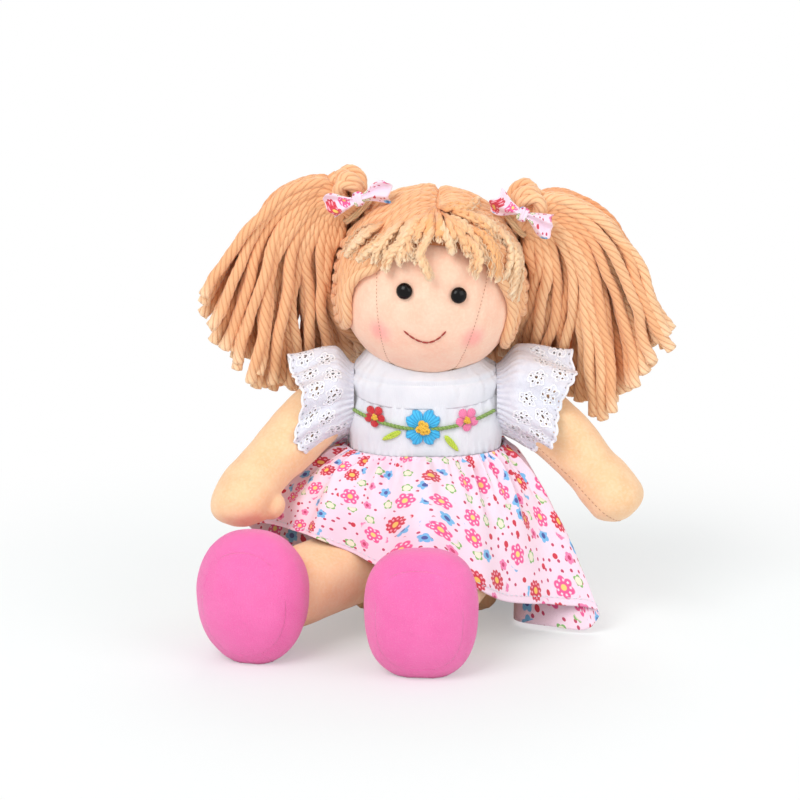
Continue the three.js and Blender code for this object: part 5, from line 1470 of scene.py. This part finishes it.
def build_arm(side, name):
    line = along_route(arm_line(name), 1.0)
    run = lengths(line)
    share = run / run[-1]
    sizes = spline([(0, 12.6, 0), (0.3, 13.2, 0), (0.62, 12, 0), (0.85, 14, 0), (1, 14, 0)], np.linspace(0, 1, 200))
    radius = np.interp(share, sizes[:, 0], sizes[:, 1]) * round_tip(run[-1] - run, 9.5)
    start = np.sqrt(np.clip(1 - (1 - np.minimum(run / 7, 1))**2, 0.25, 1))
    flatten = mix(1, 0.86, smooth(share, 0.5, 0.9))
    body = rings_of("arm_body", limb_rings(line, radius * start, flatten))
    palm = line[np.argmin(np.abs(share - 0.78))]
    thumb_way = unit(np.array(THUMB_WAYS[name], float))
    thumb_run = np.linspace(0, 18, 24)
    thumb_line = palm + thumb_way * thumb_run[:, None]
    thumb = rings_of("thumb", limb_rings(thumb_line, 5.9 * round_tip(18 - thumb_run, 5.9), np.ones(24)))
    arm = remeshed(joined(f"stuffed_{name}_arm", [body, thumb]), 1.0, 7)
    lumpy(arm, 0.35, 8.0, 4.0 + side, grown=0.35)
    if name == "left":
        route = [(48.5, 0, 80.5), (54.5, 0, 75), (62.5, 0, 68), (74.8, 0, 56), (89.7, 0, 44.6)]
        seam = stitches("left_arm_seam", front_line(arm, spline(route, np.linspace(0, 1, 90))), 0.42, 1.3, 0.9)
        dressed(seam, "seam", "left_arm", "skin_cloth")
    dressed(arm, "limb", f"{name}_arm", "skin_cloth", f"{name}_arm")


# Sleeve frills: gathered eyelet lace, long over the shoulder and short under the arm

# How far each frill reaches out, every twelfth of a turn from its top, forwards and round
FRILL_REACH = {
    "right": [29, 27.5, 24.5, 28, 21, 12, 8, 9, 15, 22, 25, 27],
    "left": [34, 36.5, 31, 27, 22, 14.5, 9, 10, 16, 24, 30, 33],
}
LACE_GIRTH = 48 * 2.3 * 1.5


def build_frill(side, name):
    line = along_route(arm_line(name), 0.5)
    run = lengths(line)
    start = SHOULDER * np.array([side, 1, 1])
    columns, rows = 420, 40
    turn = np.linspace(0, 1, columns, endpoint=False)[:, None]
    along = np.linspace(0, 1, rows)[None, :]
    angle = turn * 2 * math.pi
    up, front = np.cos(angle), np.sin(angle)
    table = np.array([(value, 0, 0) for value in FRILL_REACH[name]], float)
    reach = spline(table, turn.ravel(), closed=True)[:, :1] - 1.0 * (1 - np.abs(np.sin(angle * 16)))
    follow = mix(np.where(front < 0, 0.6, 0.9), np.where(up > 0, 0.12, 1), np.abs(up))
    spot = along * reach
    centre = np.stack([np.interp(spot, run, line[:, k]) for k in range(3)], axis=-1) - start
    centre = centre * follow[..., None]
    top, under = smooth(up, 0, 1), smooth(-up, 0, 1)
    wave = (3.3 * np.cos(angle * 7 + 0.7 * np.sin(2 * angle) + side) + 1.3 * np.cos(angle * 12 + 1.0 + side)
            + 0.6 * np.cos(angle * 19 + 2.0)) * along**1.2
    gather = 0.5 * np.cos(angle * 40) * (1 - smooth(along, 0.0, 0.45))
    puff = (top * (8.2 * smooth(along, 0, 0.3) - 4.2 * smooth(along, 0.35, 1))
            + (1 - top - under) * (5.0 * smooth(along, 0, 0.35) + 1.2 * along) + under * 3.0 * along)
    radius = 14.3 + puff + (wave + gather) * (1 - 0.75 * under)
    grid = np.stack([
        start[0] + side * (mix(reach * along, np.abs(centre[..., 0]), 0.5 * follow) - 1.6 * (1 - along)),
        start[1] + centre[..., 1] - radius * front,
        start[2] + centre[..., 2] + radius * up,
    ], axis=-1)
    around = np.linspace(0, LACE_GIRTH, columns + 1)
    from_rim = np.concatenate([reach, reach[:1]]) * (1 - along)
    lace = sheet_of(f"{name}_lace_frill", grid, closed=True, uv=(np.repeat(around[:, None], rows, axis=1), from_rim))
    face_away(lace, lambda middle: middle - Vector(start) * MM)
    apply_modifier(lace, "SOLIDIFY", thickness=0.6 * MM, offset=0.0)
    dressed(lace, "lace", f"{name}_arm", "lace_cotton", f"{name}_sleeve_frill")


# Legs and felt boots

# How square each boot's outline is, and how high its top is beside its bottom
BOOT_SHAPES = {"right": (2.15, 0.99), "left": (2.6, 0.885)}
# How much wider the boot is beside its sole
SOLE_GROWTH = 1.2 / 22.0


def boot_form(name, turn, along):
    square, top = BOOT_SHAPES[name]
    angle = turn * 2 * math.pi
    opened = np.sin(np.minimum(along * 1.7, 1) * math.pi / 2)
    power = 2 / mix(2, square, opened)
    up = np.sign(np.cos(angle)) * np.abs(np.cos(angle))**power
    aside = np.sign(np.sin(angle)) * np.abs(np.sin(angle))**power
    draw = 1.2 * smooth(along, 0.7, 1)
    wide = mix(BOOT["cuff"], BOOT["half_width"], opened) - draw
    tall = (mix(BOOT["cuff"], BOOT["half_height"], opened) - draw) * np.where(up > 0, mix(1, top, opened), 1)
    drop = mix(BOOT["cuff"] - BOOT["half_height"], 0, opened) / 2
    return np.stack([wide * aside, -along * BOOT["depth"] + 0 * angle, tall * up + drop], axis=-1)


def boot_place(name, points):
    turn = np.array(Matrix.Rotation(BOOT_TURNS[name], 3, "Z"))
    ankle = ANKLES[name]
    lifted = points + np.array([0, BOOT["depth"] / 2, 0])
    world = lifted @ turn.T + np.array([ankle[0], ankle[1], BOOT["half_height"] - BOOT["sink"]])
    world[..., 2] = np.where(world[..., 2] < 0.4, 0.4 - 0.4 * np.exp((world[..., 2] - 0.4) * 0.8), world[..., 2])
    return world


def boot_round(along):
    """How much narrower the boot gets towards its rounded front."""
    half = 0.5 * BOOT["depth"]
    reach = (np.asarray(along, float) * BOOT["depth"] - half) / (half + BOOT["sole"] + 0.6)
    return np.maximum(1 - np.clip(reach, 0, 1)**3.0, 0)**(1 / 2.4)


def build_leg(side, name):
    hip = HIP * np.array([side, 1, 1])
    ankle = ANKLES[name]
    way = unit(ankle - hip)
    end = ankle + way * BOOT["depth"] / 4
    line = evened(np.vstack([hip - way * LEG["hip"], end]), 1.5)
    run = lengths(line)
    share = np.clip((run - LEG["hip"]) / (run[-1] - LEG["hip"]), 0, 1)
    radius = mix(LEG["hip"], LEG["ankle"], smooth(share, 0.5, 1)) + 0.6 * np.sin(math.pi * share)
    radius = radius * round_tip(run, LEG["hip"])
    grid = limb_rings(line, radius, np.ones(len(line)), 64)
    leg = rings_of(f"stuffed_{name}_leg", grid)
    lumpy(leg, 0.35, 9.0, 7.0 + side)
    dressed(leg, "limb", f"{name}_leg", "skin_cloth", f"{name}_leg")

    turn = np.linspace(0, 1, 120, endpoint=False)[None, :]
    along = np.linspace(0, 1, 60)[:, None]
    grown = SOLE_GROWTH * smooth(along, 0.45, 0.8)
    upper = boot_form(name, turn, along)
    narrowed = boot_round(along) + grown * boot_round(along)
    upper[..., [0, 2]] *= (narrowed * (1 - 0.01 * np.cos(turn * 6 * math.pi) * along))[..., None]
    boot = rings_of(f"{name}_felt_boot", boot_place(name, upper))
    lumpy(boot, 0.3, 9.0, 12.0 + side, above=2)
    dressed(boot, "boot", f"{name}_leg", "boot_felt", f"{name}_boot")

    rim = boot_form(name, turn, np.ones((1, 1)))
    full = 1 + (BOOT["sole"] + 0.5) / BOOT["depth"]
    further = np.concatenate([[0.975, 0.982], mix(0.982, full, np.sin(np.linspace(0.05, math.pi / 2, 28)))])[:, None]
    narrow = boot_round(further) * (1 + SOLE_GROWTH)
    narrow[0] -= 0.02
    narrow[-1] = np.maximum(narrow[-1], 0.02)
    sole = rim * narrow[..., None] * np.where(further < 0.98, 0.99, 1.006)[..., None]
    sole[..., 1] = -BOOT["depth"] * further
    pad = rings_of(f"{name}_felt_sole", boot_place(name, sole))
    lumpy(pad, 0.3, 9.0, 12.0 + side, above=2)
    dressed(pad, "boot", f"{name}_leg", "boot_felt", f"{name}_sole")


# Embroidery on the bodice's front
def on_front(x, z, lift):
    """Place on the bodice's front, raised off it."""
    x, z = np.broadcast_arrays(np.asarray(x, float), np.asarray(z, float))
    return np.stack([x, front_of_torso(x, z, GAP + CLOTH + GAP) - lift, z], axis=-1)


# Each flower's middle across and up, its reach, its petals and its yellow middle's reach
FLOWERS = {
    "red": (-21.8, 95.6, 4.6, 5, 1.6),
    "blue": (-1.1, 91.6, 8.6, 4, 3.4),
    "pink": (17.8, 94.6, 5.0, 5, 1.8),
}


def build_embroidery():
    x = np.linspace(-31, 30, 120)
    z = mix(97, 90.8, np.sin(math.pi * (x + 31) / 61))
    stem = strands("rope_stem", [on_front(x, z, 1.0)], 0.9, step=0.5, sides=10, plies=2, groove=0.25, pitch=3.4,
                   ends=round_ends(0.9))
    dressed(stem, "stem", "torso", "green_thread", "embroidered_stem")
    for side, name, first, droop in ((-1, "right", (10.4, 89.9), math.radians(26)),
                                     (1, "left", (8.2, 88.2), math.radians(50))):
        routes = []
        for half in (-1, 0, 1):
            share = np.linspace(0.04 * abs(half), 1 - 0.04 * abs(half), 30)
            bow_out = half * 0.85 * np.sin(math.pi * share**0.8)
            px = first[0] + share * 9.0 * math.cos(droop) + bow_out * math.sin(droop)
            pz = first[1] - share * 9.0 * math.sin(droop) + bow_out * math.cos(droop)
            routes.append(on_front(side * px, pz, 0.95 if half == 0 else 0.7))
        leaf = strands(f"{name}_satin_leaf", routes, 0.55, step=0.5, sides=8, plies=2, groove=0.2, pitch=2.2,
                       ends=round_ends(0.6))
        dressed(leaf, "leaf", "torso", "leaf_thread", f"{name}_leaf")
    slots = {"red": "red_felt", "blue": "blue_felt", "pink": "pink_felt"}
    for name, (cx, cz, reach, petals, middle) in FLOWERS.items():
        turn = np.linspace(0, 1, petals * 28, endpoint=False)
        share = np.concatenate([np.linspace(0.06, 1, 22), [1.0]])
        lobe = np.abs(np.sin(turn * math.pi * petals))
        edge = reach * (0.5 + 0.5 * lobe**0.5 - (0.15 * smooth(lobe, 0.9, 1.0) if petals == 4 else 0))
        grid = np.empty((len(turn), len(share), 3))
        for k, part in enumerate(share):
            far = edge * part
            puff = 1.4 * np.sqrt(np.maximum(1 - part**4, 0)) * (0.45 + 0.55 * lobe**0.8)
            lift = 0.9 + (puff if k < len(share) - 1 else -0.7)
            grid[:, k] = on_front(cx + far * np.sin(turn * 2 * math.pi), cz + far * np.cos(turn * 2 * math.pi), lift)
        around = np.linspace(0, petals * 7.0, len(turn) + 1)
        flower = sheet_of(f"{name}_petals", grid, closed=True, uv=(around, share * reach))
        filled(flower)
        dressed(flower, name, "torso", slots[name], f"{name}_flower")
        knots = []
        coil = np.linspace(0, 3 * math.pi, 26)
        size = middle * 0.42
        for k in range(7):
            a = k * SPIRAL
            r = middle * 0.62 * math.sqrt(k / 6)
            spot = on_front(cx + r * math.cos(a), cz + r * math.sin(a), 2.9)
            ring = np.stack([size * 0.55 * np.cos(coil), -0.1 * coil / 3, size * 0.55 * np.sin(coil)], axis=1)
            knots.append(ring + spot)
        centre = strands(f"{name}_flower_knots", knots, middle * 0.26, step=0.3, sides=8, plies=2, groove=0.15,
                         pitch=1.6, ends=round_ends(0.4))
        dressed(centre, "yellow", "torso", "yellow_thread", f"{name}_flower_centre")


def build_closure():
    for name in ("loop_strip", "hook_strip"):
        finished(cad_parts[name], "tape")


build_torso()
build_bodice()
build_flap()
build_neck_band()
build_skirt()
build_head()
build_eyes()
build_mouth()
build_hair()
build_fringe()
build_embroidery()
build_closure()
for side, name in ((-1, "right"), (1, "left")):
    build_bunch(side, name)
    build_arm(side, name)
    build_frill(side, name)
    build_leg(side, name)


# Floor, light and camera
WHITE = (1.0, 1.0, 1.0, 1.0)
LAMP_TARGET = Vector((0, 0, 0.1))


def looked_at(tree):
    """1 for what the camera sees, straight or through a mirror or glass, and 0 for what only lights."""
    seen = node(tree, "ShaderNodeLightPath")
    return larger(seen["Is Camera Ray"], larger(seen["Is Glossy Ray"], seen["Is Transmission Ray"]))


def build_stage():
    bpy.ops.mesh.primitive_plane_add(size=12, location=(0, 2.0, 0))
    floor = bpy.context.active_object
    floor.name = "floor"
    made, tree, _ = new_material("pale_floor", Base_Color=colour(235, 240, 240), Roughness=0.9,
                                 Specular_IOR_Level=0.1)
    far = span(vectors("DISTANCE", object_place(tree), (0.0, -2.0, 0.0)), 0.11, 0.32, 0.35, 1.0)
    white = node(tree, "ShaderNodeEmission", {"Color": WHITE, "Strength": 1.0})[0]
    end = next(made for made in tree.nodes if made.type == "OUTPUT_MATERIAL").inputs[0]
    plain = Value(tree, end.links[0].from_socket)
    feed(tree, end, node(tree, "ShaderNodeMixShader", {0: looked_at(tree) * far, 1: plain, 2: white})[0])
    floor.data.materials.append(made)

    world = bpy.data.worlds.new("studio")
    bpy.context.scene.world = world
    world.use_nodes = True
    sky = world.node_tree
    ground = sky.nodes["Background"]
    ground.inputs[0].default_value = WHITE
    feed(sky, ground.inputs[1], times_plus(looked_at(sky), 0.42, 0.58))

    for name, place, size, power in (("key", (-0.7, -1.0, 1.2), 0.9, 14.5), ("fill", (1.0, -0.8, 0.7), 1.0, 5.5),
                                     ("back", (0.2, 1.0, 1.1), 0.8, 5.0)):
        lamp = bpy.data.lights.new(name, "AREA")
        lamp.size = size
        lamp.energy = power
        made = bpy.data.objects.new(name, lamp)
        made.location = place
        made.rotation_euler = (LAMP_TARGET - Vector(place)).to_track_quat("-Z", "Y").to_euler()
        bpy.context.scene.collection.objects.link(made)

    lens = bpy.data.cameras.new("camera")
    lens.lens = 134.5
    lens.sensor_width = 36
    camera = bpy.data.objects.new("camera", lens)
    camera.location = (-0.0109, -1.2614, 0.4118)
    camera.rotation_euler = (math.radians(76), 0, 0)
    bpy.context.scene.collection.objects.link(camera)
    bpy.context.scene.camera = camera
    bpy.context.scene.view_settings.view_transform = "Standard"


build_stage()
bpy.context.view_layer.update()
